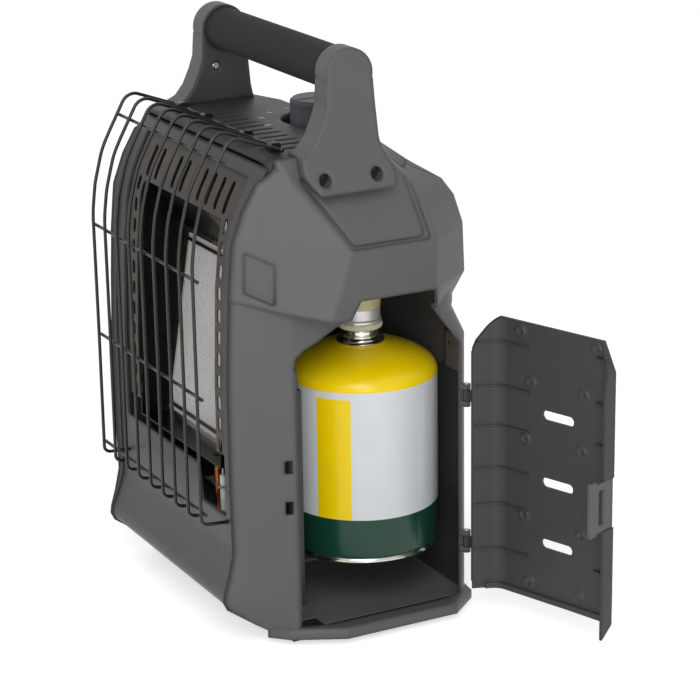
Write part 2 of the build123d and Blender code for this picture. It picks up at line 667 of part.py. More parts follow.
def handle_support():
    side = along_x(support_outline(), GRIP_HALF, BODY_HALF)
    side += rod((GRIP_HALF, GRIP_Y, GRIP_Z), (1, 0, 0), SUPPORT_HEAD_R, BODY_HALF - GRIP_HALF)
    outer = GRIP_HALF + SUPPORT_T
    slant = FACET_LEAN * 31.5
    face = [
        (GRIP_HALF, FOOT_BOTTOM - 5), (outer + 2 + slant + 2.3, FOOT_BOTTOM - 5), (outer + 2, TOP_Z + 4),
        (outer, GRIP_Z), (outer - 1, GRIP_Z + SUPPORT_HEAD_R + 1), (GRIP_HALF, GRIP_Z + SUPPORT_HEAD_R + 1),
    ]
    support = side & along_y(face, -60, 60)
    support -= CASING
    support -= rod((GRIP_HALF - 1, GRIP_Y, GRIP_Z), (1, 0, 0), GRIP_R + EASE, 1 + GRIP_SOCKET)
    support -= rod((GRIP_HALF - 1, GRIP_Y, GRIP_Z), (1, 0, 0), TUBE_R + FIT, 1 + TUBE_DEPTH)
    for y, z in HANDLE_SCREWS:
        support -= rod((BODY_HALF, y, z), (-1, 0, 0), SCREW_R + FIT, BODY_HALF)
        support -= rod((screw_seat(z), y, z), (1, 0, 0), SCREW_HEAD_R + EASE, 40)
    y, z = TUBE_SCREW
    support -= rod((GRIP_HALF - 1, y, z), (1, 0, 0), TUBE_SCREW_R + FIT, 14)
    support -= rod((GRIP_HALF - 1, y, z), (1, 0, 0), TUBE_SCREW_HEAD_R + EASE, 1 + TUBE_SCREW_SINK)
    return support


def screw_seat(z):
    """Where the head of a handle screw sits, from the middle."""
    return BODY_HALF - FACET_LEAN * (z - LEDGE_Z) + 1.0


def pan_screw(head_r, head_h, shank_r, length):
    """Screw along -Z from its head's underside at z = 0, with a cross recess."""
    head = Cylinder(head_r, head_h, align=(Align.CENTER, Align.CENTER, Align.MIN))
    head = fillet(head.edges().sort_by(Axis.Z)[-1:], head_h * 0.45)
    shank = Pos(0, 0, -length) * Cylinder(shank_r, length, align=(Align.CENTER, Align.CENTER, Align.MIN))
    bar = Pos(0, 0, head_h) * Box(head_r * 1.1, head_r * 0.3, head_h)
    return head + shank - bar - Rot(0, 0, 90) * bar


def handle_screws():
    screws = []
    for y, z in HANDLE_SCREWS:
        screw = pan_screw(SCREW_HEAD_R, 2.4, SCREW_R, 12.0)
        screw = Plane(origin=(screw_seat(z), y, z), z_dir=(1, 0, 0)) * screw
        screws += [screw, flip(screw)]
    return Compound(screws)


def handle_tube_screws():
    y, z = TUBE_SCREW
    screw = pan_screw(TUBE_SCREW_HEAD_R, 2.0, TUBE_SCREW_R, 9.0)
    screw = Plane(origin=(GRIP_HALF + TUBE_SCREW_SINK, y, z), z_dir=(-1, 0, 0)) * screw
    return Compound([screw, flip(screw)])


def handle_tube():
    half = GRIP_HALF + TUBE_DEPTH - EASE
    return ring((-half, GRIP_Y, GRIP_Z), (1, 0, 0), TUBE_R, TUBE_R - 1.5, 2 * half)


def handle_grip():
    half = GRIP_HALF + GRIP_SOCKET - EASE
    return ring((-half, GRIP_Y, GRIP_Z), (1, 0, 0), GRIP_R, TUBE_R + FIT, 2 * half)


# ---- wire guard ----
def guard_path(foot):
    """Side route (y, z) of one upright guard wire, from its foot at a given y to the top rod."""
    return [
        (foot, GUARD_BOTTOM - TAIL_FALL), (GUARD_Y - 0.5, GUARD_BOTTOM + 0.5), (GUARD_Y - 0.5, GUARD_BOTTOM + 90),
        (GUARD_Y - 1.0, LEDGE_Z - 6), (GUARD_Y + 1.7, LEDGE_Z + 15), (GUARD_Y + 8.0, TOP_Z - 23),
        (GUARD_Y + 14.5, TOP_Z - 10.5), (GUARD_Y + 29.5, TOP_Z + 16.5), (GUARD_Y + 65, TOP_Z + 3.2),
    ]


def guard_wires():
    """Nine bent wires. The outer two reach into the front frame, the others end in short hooks."""
    radii = [5, 200, 100, 60, 60, 60, 10]
    wires = []
    for x in wire_xs():
        foot = FRONT_Y + FRAME_SETBACK + 4 if abs(x) > GUARD_HALF - 1 else GUARD_Y + TAIL
        wires.append(bent_tube([(x, y, z) for y, z in guard_path(foot)], radii, WIRE_R))
    return Compound(wires)


def guard_rod_centre():
    (y0, z0), (y1, z1) = guard_path(0)[-2:]
    run = Vector(y1 - y0, z1 - z0).normalized() * (WIRE_R + FIT)
    return y1 + run.X, z1 + run.Y


def guard_cross_wires():
    """Cross wires welded behind the uprights, and the rod along their tops."""
    half = GUARD_HALF + CROSS_OVERHANG
    y, z = guard_rod_centre()
    wires = [rod((-half, y, z), (1, 0, 0), WIRE_R, 2 * half)]
    path = guard_path(0)[1:8]
    for height in CROSS_ZS:
        for (y0, z0), (y1, z1) in zip(path, path[1:]):
            if z0 <= height < z1:
                run = Vector(y1 - y0, z1 - z0).normalized()
                near = y0 + (y1 - y0) * (height - z0) / (z1 - z0)
                gap = 2 * WIRE_R + 3 * FIT
                start = (-half, near + run.Y * gap, height - run.X * gap)
                wires.append(rod(start, (1, 0, 0), WIRE_R, 2 * half))
    return Compound(wires)


def guard_clips():
    """Small ears on the top panel that hold the guard's rod."""
    y, z = guard_rod_centre()
    clips = []
    xs = wire_xs()
    for i in (0, 2, GUARD_WIRES - 4, GUARD_WIRES - 2):
        x = (xs[i] + xs[i + 1]) / 2
        clip = block((x - CLIP_HALF, x + CLIP_HALF), (y - 4, y + 4), (TOP_Z, z + 3.4))
        clip = fillet(clip.edges().filter_by(Axis.X).sort_by(Axis.Z)[-2:], 2.5)
        clips.append(clip - rod((x - 2 * CLIP_HALF, y, z), (1, 0, 0), WIRE_R + FIT, 4 * CLIP_HALF))
    return Compound(clips)


# ---- burner ----
def burner_plane():
    tilt = radians(PLAQUE_TILT)
    return Plane(origin=(0, PLAQUE_Y, PLAQUE_Z), x_dir=(1, 0, 0), z_dir=(0, -cos(tilt), sin(tilt)))


def ceramic_plaque():
    """Honeycomb block in two halves, side by side."""
    half = block((0.15, PLAQUE_HALF), (0, PLAQUE_H), (-PLAQUE_T, 0))
    return Compound([burner_plane() * half, burner_plane() * flip(half)])


def burner_box():
    wide, high = PLAQUE_HALF + BURNER_RIM, (-BURNER_RIM, PLAQUE_H + BURNER_RIM)
    back = -PLAQUE_T - PLENUM
    box = block((-wide, wide), high, (back, -SHEET))
    seat = PLAQUE_HALF + EASE
    box -= block((-seat, seat), (-EASE, PLAQUE_H + EASE), (-PLAQUE_T, 1))
    box -= block((3 - seat, seat - 3), (3, PLAQUE_H - 3), (back + SHEET, 1))
    box = burner_plane() * box
    return box - rod((0, MIXER_Y, MIXER_Z), (0, 0, 1), MIXER_R - 1.5, 22)


def burner_rim():
    wide, high = PLAQUE_HALF + BURNER_RIM, (-BURNER_RIM, PLAQUE_H + BURNER_RIM)
    rim = block((-wide, wide), high, (EASE / 2, EASE / 2 + SHEET))
    lap = PLAQUE_HALF - 1.5
    rim -= block((-lap, lap), (1.5, PLAQUE_H - 1.5), (-1, 5))
    return burner_plane() * rim


def plaque_clips():
    """Wire rods that hold the plaque, top and bottom."""
    rods = []
    half = PLAQUE_HALF - 1.5 - EASE
    for height in (6.0, PLAQUE_H - 6.0):
        clip = rod((-half, height, WIRE_R + EASE), (1, 0, 0), WIRE_R, 2 * half)
        rods.append(burner_plane() * clip)
    return Compound(rods)


def tilted_rectangle(half, low, high, grow):
    """Face across the heater between two heights, each (y, z), grown all round in its own plane."""
    run = Vector(high[0] - low[0], high[1] - low[1]).normalized() * grow
    y0, z0 = low[0] - run.X, low[1] - run.Y
    y1, z1 = high[0] + run.X, high[1] + run.Y
    wide = half + grow
    return make_face(Polyline((-wide, y0, z0), (wide, y0, z0), (wide, y1, z1), (-wide, y1, z1), close=True))


def reflector():
    """Bright sheet funnel from the window to the plaque."""
    plane = burner_plane()
    low = plane.from_local_coords(Vector(0, -2, EASE + SHEET))
    high = plane.from_local_coords(Vector(0, PLAQUE_H + 2, EASE + SHEET))
    behind = FRAME_SETBACK + VENT_RECESS + SHEET + EASE
    front_low = (front_y(CAVITY_BOTTOM) + behind, CAVITY_BOTTOM)
    front_high = (front_y(CAVITY_TOP) + behind + 3 * EASE, CAVITY_TOP)
    near, far = CAVITY_HALF + 1, PLAQUE_HALF + 2
    outer, inner = [
        loft([
            tilted_rectangle(near, front_low, front_high, grow),
            tilted_rectangle(far, (low.Y, low.Z), (high.Y, high.Z), grow),
        ], ruled=True)
        for grow in (SHEET, 0)
    ]
    funnel = outer - inner
    for x in (IGNITER_X, THERMO_X):
        funnel -= rod((x, PROBE_Y, 0), (0, 0, 1), PROBE_R + EASE, CAVITY_BOTTOM + 20)
    return funnel


def mixing_tube():
    points = [(MIXER_START, MIXER_Y, MIXER_Z), (0, MIXER_Y, MIXER_Z), (0, MIXER_Y, MIXER_Z + 20)]
    tube = bent_tube(points, [MIXER_R + 1], MIXER_R) - bent_tube(points, [MIXER_R + 1], MIXER_R - 1)
    low = -BURNER_RIM - EASE
    return tube - burner_plane() * block((-80, 80), (low, 40), (-60, 20))


def burner_stand():
    """Sheet bracket from the floor plate to the burner box, with a flange along the floor."""
    low = TRAY_Z + EASE
    top = burner_plane().from_local_coords(Vector(0, -BURNER_RIM - EASE, -PLAQUE_T)).Z
    half = PLAQUE_HALF - 4
    stand = block((-half, half), (STAND_Y, STAND_Y + SHEET), (low, top - 2))
    stand += block((-half, half), (STAND_Y - 8, STAND_Y + SHEET), (low, low + SHEET))
    stand += block((JET_X - 8, -half), (STAND_Y, STAND_Y + SHEET), (low, MIXER_Z + 12))
    hole = [(-45.0, 30.0), (45.0, 30.0), (45.0, 80.0), (-45.0, 80.0)]
    stand -= along_y(hole, STAND_Y - 5, STAND_Y + 5, 6.0)
    stand -= rod((JET_X, STAND_Y - 5, MIXER_Z), (0, 1, 0), PIPE_R + EASE, 10)
    return stand - burner_plane() * block((-80, 80), (-BURNER_RIM - EASE, 40), (-60, 20))


def lower_shelf():
    """Dark shelf under the window that carries the pilot parts."""
    low = STEP_BOTTOM - 10
    half = WINDOW_HALF - 4.5
    near = front_y(low) + FRAME_SETBACK + WALL + EASE
    return block((-half, half), (near, STAND_Y - EASE), (low, low + SHEET))


def pilot_bracket():
    """Folded sheet bracket beside the step in the window."""
    low = STEP_BOTTOM - 10 + SHEET
    wide = (PLAQUE_HALF - 30, PLAQUE_HALF - 6)
    foot = block(wide, (PROBE_Y - 9, PROBE_Y + 5), (low, low + SHEET))
    wall = block(wide, (PROBE_Y + 4, PROBE_Y + 5), (low, low + 20))
    top = block(wide, (PROBE_Y - 5, PROBE_Y + 5), (low + 19, low + 20))
    bracket = foot + wall + top
    for x in (IGNITER_X, THERMO_X):
        bracket -= rod((x, PROBE_Y, low - 1), (0, 0, 1), PROBE_R + FIT, 30)
    return bracket


def igniter_electrode():
    low = STEP_BOTTOM - 10 + 2 * SHEET
    body = rod((IGNITER_X, PROBE_Y, low), (0, 0, 1), PROBE_R, 26)
    return body + rod((IGNITER_X, PROBE_Y, low + 26), (0, 0, 1), 0.7, 9)


def thermocouple():
    low = STEP_BOTTOM - 10 + 2 * SHEET
    body = rod((THERMO_X, PROBE_Y, low), (0, 0, 1), PROBE_R, 30)
    return body + rod((THERMO_X, PROBE_Y, low + 30), (0, 0, 1), 1.4, 6)


def gas_jet():
    half = JET_SIZE / 2
    body = Pos(JET_X, MIXER_Y, MIXER_Z) * Box(JET_SIZE, JET_SIZE, JET_SIZE)
    nozzle = rod((JET_X + half, MIXER_Y, MIXER_Z), (1, 0, 0), PIPE_R, MIXER_START - JET_X - half + 2)
    body += nozzle
    body -= rod((JET_X, MIXER_Y, MIXER_Z), (1, 0, 0), 0.4, 40)
    return body


def burner_pipe():
    top = valve_top() - VALVE_H / 2
    points = [
        (KNOB_X - VALVE_R, KNOB_Y, top), (JET_X, KNOB_Y, top), (JET_X, KNOB_Y, MIXER_Z),
        (JET_X, MIXER_Y + JET_SIZE / 2, MIXER_Z),
    ]
    return bent_tube(points, [12, 12], PIPE_R)


# ---- gas valve and knob ----
def valve_top():
    """Top of the valve's bonnet, right under the dish."""
    return TOP_Z - DISH_DEPTH - WALL


def valve_at(height):
    return Pos(KNOB_X, KNOB_Y, height)


def disc(radius, height):
    return Cylinder(radius, height, align=(Align.CENTER, Align.CENTER, Align.MIN))


def gas_valve_body():
    top = valve_top() - BONNET_T
    body = valve_at(top - VALVE_H) * disc(VALVE_R, VALVE_H)
    body -= valve_at(top - ROTOR_H - 2 * EASE) * disc(ROTOR_R + FIT, VALVE_H)
    return body


def valve_bonnet():
    plate = valve_at(valve_top() - BONNET_T) * disc(VALVE_R, BONNET_T)
    return plate - valve_at(0) * disc(STEM_R + FIT, FAR * 2)


def d_shaft(radius, height, flat):
    """Round shaft with one flat."""
    return disc(radius, height) - block((-radius * 2, radius * 2), (flat, radius * 2), (-1, height + 1))


def valve_rotor():
    low = valve_top() - BONNET_T - ROTOR_H - EASE
    rotor = disc(ROTOR_R, ROTOR_H) - Pos(0, 0, 2) * d_shaft(STEM_R + FIT, ROTOR_H, STEM_R * 0.6 + FIT)
    return valve_at(low) * rotor


def control_knob():
    height = KNOB_TOP - KNOB_BOTTOM
    knob = disc(KNOB_R, height)
    knob = chamfer(knob.edges().sort_by(Axis.Z)[-1:], 1.6)
    for i in range(KNOB_FLUTES):
        turn = 360 / KNOB_FLUTES * i
        knob -= Rot(0, 0, turn) * Pos(KNOB_R + 0.9, 0, 0) * disc(2.0, height - 4)
    knob -= Pos(0, 0, -1) * (disc(KNOB_R - 4, height - 3) - disc(STEM_R + 4, height))
    knob -= Pos(0, 0, -1) * d_shaft(STEM_R + FIT, height - 4, STEM_R * 0.6 + FIT)
    knob += Pos(0, -KNOB_R * 0.45, height - 0.4) * Box(2.0, KNOB_R * 0.8, 1.6)
    return valve_at(KNOB_BOTTOM) * knob


def valve_stem():
    low = valve_top() - BONNET_T - ROTOR_H + 2 + KNOB_TRAVEL
    high = KNOB_TOP - 6
    return valve_at(low) * d_shaft(STEM_R, high - low, STEM_R * 0.6)


def knob_spring():
    """Return spring between the valve and the knob, as a plain sleeve."""
    low = valve_top() + EASE / 2
    sleeve = disc(SPRING_R, KNOB_BOTTOM - EASE / 2 - low) - disc(SPRING_R - 1.5, FAR)
    return valve_at(low) * sleeve


# ---- regulator and cartridge ----
def can_at(height):
    return Pos(CAN_X, CAN_Y, height)


def nut_bottom():
    return CAN_NECK + CUP_H + EASE


def regulator_nut():
    """Screw socket that takes the cartridge's thread."""
    nut = disc(NUT_R, NUT_H)
    nut = chamfer(nut.edges().filter_by(GeomType.CIRCLE).sort_by(Axis.Z)[:1], 1.0)
    for i in range(NUT_GROOVES):
        nut -= Rot(0, 0, 360 / NUT_GROOVES * i) * Pos(NUT_R + 0.6, 0, 0) * disc(1.2, NUT_H)
    return can_at(nut_bottom()) * (nut - disc(THREAD_R + FIT, FAR))


def seal_ring():
    return can_at(nut_bottom() + NUT_H) * (disc(SEAL_R, SEAL_H) - disc(THREAD_R + 1.5, FAR))


def connector_tube():
    low = nut_bottom() + NUT_H + SEAL_H
    body = disc(CONNECTOR_R, CONNECTOR_H) + disc(SEAL_R - 0.4, 2.8)
    return can_at(low) * (body - disc(2.0, FAR))


def regulator_neck():
    low = nut_bottom() + NUT_H + SEAL_H + CONNECTOR_H
    neck = disc(NECK_R, REGULATOR_Z - low)
    top = REGULATOR_Z - low
    cone = loft([Plane.XY.offset(top - 12) * Circle(NECK_R), Plane.XY.offset(top) * Circle(NECK_R + 4)])
    return can_at(low) * (neck + cone - disc(2.0, FAR))


def regulator_body():
    body = disc(REGULATOR_R, REGULATOR_H)
    body = chamfer(body.edges().filter_by(GeomType.CIRCLE), 2.0)
    body += Pos(0, 0, REGULATOR_H) * disc(REGULATOR_R * 0.5, 5.0)
    return can_at(REGULATOR_Z) * body


def regulator_pipe():
    """Pipe from the regulator to the underside of the valve."""
    start = REGULATOR_Z + REGULATOR_H / 2
    end = valve_top() - BONNET_T - VALVE_H
    points = [(CAN_X - REGULATOR_R, CAN_Y, start), (KNOB_X, KNOB_Y, start), (KNOB_X, KNOB_Y, end)]
    return bent_tube(points, [12], PIPE_R)


def can_profile(gap):
    """Half section of the cartridge, moved inwards by gap."""
    wall = CAN_R - gap
    rim = CAN_BOTTOM + CAN_RIM
    shoulder = CAN_NECK - CAN_SHOULDER
    start = (wall, CAN_SHOULDER)
    low = rim + gap
    line = Polyline((0, low + 6), (wall - 12, low + 3), (wall - 5, low), (wall, low), start)
    middle = (wall - 13, CAN_SHOULDER + shoulder * 0.72 - gap)
    dome = ThreePointArc(start, middle, (CUP_R - gap, CAN_NECK - gap))
    close = Polyline((CUP_R - gap, CAN_NECK - gap), (0, CAN_NECK - gap), (0, low + 6))
    return make_face(line + dome + close)


def cartridge():
    """Thin steel can: rolled bottom rim, straight wall, dome and cup."""
    outer = revolve(Plane.XZ * can_profile(0), Axis.Z)
    inner = revolve(Plane.XZ * can_profile(CAN_WALL), Axis.Z)
    rim = Pos(0, 0, CAN_BOTTOM) * (disc(CAN_R, CAN_RIM) - disc(CAN_R - 4.5, CAN_RIM))
    rim = fillet(rim.edges().sort_by(Axis.Z)[:1], 1.2)
    cup = Pos(0, 0, CAN_NECK) * (disc(CUP_R, CUP_H) - Pos(0, 0, 1) * disc(CUP_R - 3, CUP_H))
    cup = fillet(cup.edges().filter_by(GeomType.CIRCLE).sort_by(Axis.Z)[-1:], 0.8)
    return can_at(0) * (outer - inner + rim + cup)


def cartridge_valve():
    """Threaded stub in the middle of the cup."""
    low = CAN_NECK + 1
    stub = disc(THREAD_R + 3, CUP_H - 1.5) + disc(THREAD_R, CUP_H + THREAD_LENGTH - 1)
    stub -= Pos(0, 0, CUP_H + THREAD_LENGTH - 4) * disc(2.2, 10)
    return can_at(low) * stub


def cartridge_gasket():
    """Flat seal round the thread, on the stub's shoulder."""
    low = CAN_NECK + CUP_H - 0.5
    return can_at(low) * (disc(THREAD_R + 3, 0.7) - disc(THREAD_R + FIT, 5))


# ---- door ----
def opened(shape):
    """Turns a closed door piece to where the door stands at rest."""
    return Pos(HINGE_X, HINGE_Y, 0) * Rot(0, 0, DOOR_OPEN) * Pos(-HINGE_X, -HINGE_Y, 0) * shape


def door_side():
    """Side outline (y, z) of the closed door."""
    return [
        (DOOR_EDGE, DOOR_BOTTOM - 1.5), (DOOR_BEND + 10, DOOR_BOTTOM), (FAR, DOOR_BOTTOM),
        (FAR, DOOR_TOP - 31), (HINGE_Y - 4, DOOR_TOP - 31), (DOOR_BEND - 5, DOOR_TOP),
        (DOOR_EDGE + 9, DOOR_TOP), (DOOR_EDGE, DOOR_TOP - 20),
    ]


def curved_wall(outer, inner, start, end, z0, z1):
    """Part of the curve towards the hinge, between two angles."""
    centre = (DOOR_FACE - DOOR_CURVE, DOOR_BEND)
    band = Pos(*centre, z0) * (disc(outer, z1 - z0) - disc(inner, z1 - z0))
    a, b = radians(start), radians(end)
    wedge = [centre] + [(centre[0] + 2 * outer * cos(t), centre[1] + 2 * outer * sin(t)) for t in (a, b)]
    return band & along_z(wedge, z0, z1)


def trough_strip(near, far, start, run, z0, z1):
    """Upright strip along the door's trough, between two depths from the door's inner face."""
    turn = radians(TROUGH_TURN)
    sides = []
    for depth in (near, far):
        radius = TROUGH_R - depth
        x, y = DOOR_FACE - DOOR_WALL - depth, TROUGH_Y + radius * tan(turn / 2)
        reach = radius * tan(turn / 2) + run
        sides.append([(x, start), (x, y), (x - reach * sin(turn), y + reach * cos(turn))])
    radii = [0, TROUGH_R - near, 0, 0, TROUGH_R - far, 0]
    line = FilletPolyline(*(sides[0] + sides[1][::-1]), radius=radii, close=True)
    return extrude(Plane.XY.offset(z0) * make_face(line), z1 - z0)


def door_trough():
    """Curved inner wall beside the hinge, the long ribs on it and the rim along the door's foot."""
    trough = trough_strip(0.0, -TROUGH_WALL, TROUGH_Y - 1, TROUGH_RUN, DOOR_BOTTOM, DOOR_TOP)
    for z in RIB_ZS:
        trough += trough_strip(-0.1, 1.6, RIB_START, TROUGH_RUN - 1.5, z, z + RIB_T)
    trough += trough_strip(-0.1, 1.8, DOOR_EDGE + 1, 4.0, DOOR_BOTTOM, DOOR_BOTTOM + 4)
    corner = DOOR_FACE - DOOR_WALL
    outline = [
        (corner - 30, DOOR_BOTTOM), (DOOR_FACE, DOOR_BOTTOM), (DOOR_FACE, DOOR_TOP), (corner, DOOR_TOP),
        (corner - 6, DOOR_TOP - 6.5), (corner - 12.3, DOOR_TOP - 16), (corner - 15.5, DOOR_TOP - 26),
        (corner - 30, DOOR_TOP - 30),
    ]
    return trough & along_y(outline, -FAR, FAR)


def door_panel():
    inside = DOOR_FACE - DOOR_WALL
    wall = block((inside, DOOR_FACE), (DOOR_EDGE, DOOR_BEND), (0, FAR * 2))
    wall += curved_wall(DOOR_CURVE, DOOR_CURVE - DOOR_WALL, 0, DOOR_HEEL, 0, FAR * 2)
    door = wall & along_x(door_side(), 60, FAR)
    edge = [
        (DOOR_EDGE, RETURN_TIP), (DOOR_EDGE + DOOR_WALL, RETURN_TIP), (DOOR_EDGE + DOOR_WALL, DOOR_TOP - 21),
        (DOOR_EDGE + 9 + DOOR_WALL, DOOR_TOP), (DOOR_EDGE + 9, DOOR_TOP), (DOOR_EDGE, DOOR_TOP - 20),
    ]
    taper = [
        (DOOR_FACE, DOOR_BOTTOM - 2), (DOOR_FACE, DOOR_TOP), (inside, DOOR_TOP),
        (DOOR_FACE - RETURN_DEPTH, DOOR_TOP - 31), (DOOR_FACE - RETURN_DEPTH, RETURN_TIP),
    ]
    door += along_x(edge, 60, FAR) & along_y(taper, -60, 60)
    for z in SLOT_ZS:
        slot = extrude(Plane.YZ.offset(60) * SlotOverall(SLOT_LENGTH, SLOT_HEIGHT), FAR)
        door -= Pos(0, SLOT_Y, z) * slot
    low = LATCH_Z - LATCH_H / 2 - EASE
    gap = (low, low + LATCH_H + 2 * EASE)
    notch = block((0, DOOR_FACE - DOOR_WALL), (DOOR_EDGE - 1, DOOR_EDGE + DOOR_WALL + 1), gap)
    notch += block((0, FAR), (DOOR_EDGE - 1, latch_axis()[1] + LATCH_BARREL_R + EASE), gap)
    door -= notch
    door += door_trough()
    for z in RIB_ZS:
        gusset = [
            (inside + 0.1, DOOR_EDGE + 14), (inside - 1.5, DOOR_EDGE + 14),
            (inside - 5, DOOR_EDGE + DOOR_WALL), (inside + 0.1, DOOR_EDGE + DOOR_WALL),
        ]
        gusset = along_z(gusset, z + 5, z + 5 + RIB_T)
        if abs(z + 5 - LATCH_Z) > LATCH_BAR_H / 2 + 2:
            door += gusset
    for z in HINGE_ZS:
        door += knuckle(z + EAR_H + EASE)
    door -= rod((*latch_axis(), low - 6), (0, 0, 1), LATCH_PIN_R + FIT, LATCH_H + 12)
    for z in HINGE_ZS:
        door -= rod((HINGE_X, HINGE_Y, z), (0, 0, 1), PIN_R + FIT, 30)
    return opened(door)


def knuckle(z):
    """Hinge eye and the web that joins it to the curved wall."""
    centre = (DOOR_FACE - DOOR_CURVE, DOOR_BEND)
    a = radians(DOOR_HEEL - 3)
    far, near = DOOR_CURVE - 0.2, DOOR_CURVE - DOOR_WALL + 0.2
    outer = (centre[0] + far * cos(a), centre[1] + far * sin(a))
    inner = (centre[0] + near * cos(a), centre[1] + near * sin(a))
    eye = [(HINGE_X + KNUCKLE_R * 0.9, HINGE_Y), (HINGE_X - KNUCKLE_R * 0.3, HINGE_Y)]
    web = along_z([outer] + eye + [inner], z, z + KNUCKLE_H)
    return rod((HINGE_X, HINGE_Y, z), (0, 0, 1), KNUCKLE_R, KNUCKLE_H) + web


def hinge_pins():
    length = 2 * (EAR_H + EASE) + KNUCKLE_H
    return Compound([rod((HINGE_X, HINGE_Y, z), (0, 0, 1), PIN_R, length) for z in HINGE_ZS])


def latch_axis():
    """Plan position (x, y) of the latch's hinge in the closed door."""
    return DOOR_FACE - LATCH_BARREL_R - 0.2, DOOR_EDGE + LATCH_BARREL_R + 0.2


def door_latch():
    x, y = latch_axis()
    front = DOOR_EDGE + BEAD / 2
    low, high = LATCH_Z - LATCH_H / 2, LATCH_Z + LATCH_H / 2
    tip = DOOR_FACE - LATCH_REACH
    latch = rod((x, y, low), (0, 0, 1), LATCH_BARREL_R, LATCH_H)
    latch += block((tip + 1, x), (front, front + LATCH_T), (low, high))
    bar_z = (LATCH_Z - LATCH_BAR_H / 2, LATCH_Z + LATCH_BAR_H / 2)
    bar = block((tip, tip + LATCH_BAR), (front, front + LATCH_T + 1), bar_z)
    latch += fillet(bar.edges().filter_by(Axis.Z), 0.7)
    latch -= block((tip + LATCH_BAR + 2, tip + LATCH_BAR + 8), (-FAR, FAR), (low + 5, high - 5))
    return opened(latch - rod((x, y, 0), (0, 0, 1), LATCH_PIN_R + FIT, FAR))


def latch_pin():
    x, y = latch_axis()
    return opened(rod((x, y, LATCH_Z - LATCH_H / 2 - 4), (0, 0, 1), LATCH_PIN_R, LATCH_H + 8))


def cover_screws():
    screws = []
    for z in COVER_SCREW_ZS:
        screw = pan_screw(COVER_SCREW_HEAD_R, 1.8, COVER_SCREW_R, WALL + LAP_T - EASE)
        screw = Plane(origin=(COVER_SCREW_X, REAR_Y, z), z_dir=(0, 1, 0)) * screw
        screws += [screw, flip(screw)]
    return Compound(screws)


def tilt_switch():
    low = TRAY_Z
    case = Pos(SWITCH_X, SWITCH_Y, low + SWITCH_H / 2) * Box(24, 18, SWITCH_H)
    case = fillet(case.edges().filter_by(Axis.Z), 2.0)
    return case + Pos(SWITCH_X, SWITCH_Y, low + SWITCH_H) * disc(6, 5)


NODES = {
    "right_side_shell": right_side_shell,
    "left_side_shell": left_side_shell,
    "front_frame": front_frame,
    "vent_panel": vent_panel,
    "top_panel": top_panel,
    "rear_cover": rear_cover,
    "base_tray": base_tray,
    "compartment_liner": compartment_liner,
    "feet": feet,
    "handle_support_right": handle_support,
    "handle_support_left": lambda: flip(handle_support()),
    "handle_screws": handle_screws,
    "handle_tube_screws": handle_tube_screws,
    "handle_tube": handle_tube,
    "handle_grip": handle_grip,
    "guard_wires": guard_wires,
    "guard_cross_wires": guard_cross_wires,
    "guard_clips": guard_clips,
    "ceramic_plaque": ceramic_plaque,
    "burner_box": burner_box,
    "burner_rim": burner_rim,
    "plaque_clips": plaque_clips,
    "reflector": reflector,
    "mixing_tube": mixing_tube,
    "burner_stand": burner_stand,
    "lower_shelf": lower_shelf,
    "pilot_bracket": pilot_bracket,
    "igniter_electrode": igniter_electrode,
    "thermocouple": thermocouple,
    "gas_jet": gas_jet,
    "burner_pipe": burner_pipe,
    "gas_valve_body": gas_valve_body,
    "valve_bonnet": valve_bonnet,
    "valve_rotor": valve_rotor,
    "valve_stem": valve_stem,
    "knob_spring": knob_spring,
    "control_knob": control_knob,
    "regulator_nut": regulator_nut,
    "seal_ring": seal_ring,
    "connector_tube": connector_tube,
    "regulator_neck": regulator_neck,
    "regulator_body": regulator_body,
    "regulator_pipe": regulator_pipe,
    "cartridge": cartridge,
    "cartridge_valve": cartridge_valve,
    "cartridge_gasket": cartridge_gasket,
    "door_panel": door_panel,
    "hinge_pins": hinge_pins,
    "door_latch": door_latch,
    "latch_pin": latch_pin,
    "cover_screws": cover_screws,
    "tilt_switch": tilt_switch,
}

if __name__ == "__main__":
    for node, make in NODES.items():
        export_step(make(), f"parts/{node}.step")
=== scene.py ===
"""Looks of a portable gas cabinet heater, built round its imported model.

Laid out as an add-on and run as a script. Metres, +Z up, the burner faces -Y
and the cartridge and its door are on the +X side.
"""

import json
from math import atan2, cos, pi, radians, sin

import bmesh
import bpy
from bpy.props import FloatProperty, FloatVectorProperty, IntProperty, PointerProperty
from mathutils import Matrix, Vector
from mathutils.geometry import interpolate_bezier


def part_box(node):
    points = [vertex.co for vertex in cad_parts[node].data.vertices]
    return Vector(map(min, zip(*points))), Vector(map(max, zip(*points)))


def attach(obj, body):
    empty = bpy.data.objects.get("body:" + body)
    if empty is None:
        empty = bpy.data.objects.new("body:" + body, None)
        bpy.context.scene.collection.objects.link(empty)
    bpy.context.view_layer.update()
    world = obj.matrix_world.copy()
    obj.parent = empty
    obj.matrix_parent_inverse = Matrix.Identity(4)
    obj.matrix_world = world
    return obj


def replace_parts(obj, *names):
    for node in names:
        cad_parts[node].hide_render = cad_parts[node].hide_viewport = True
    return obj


bl_info = {
    "name": "Portable gas cabinet heater",
    "version": (1, 0, 0),
    "blender": (4, 5, 0),
    "location": "View3D > Sidebar > Gas heater",
    "description": "Adds the looks of a portable gas cabinet heater to its packed model",
    "category": "Object",
}

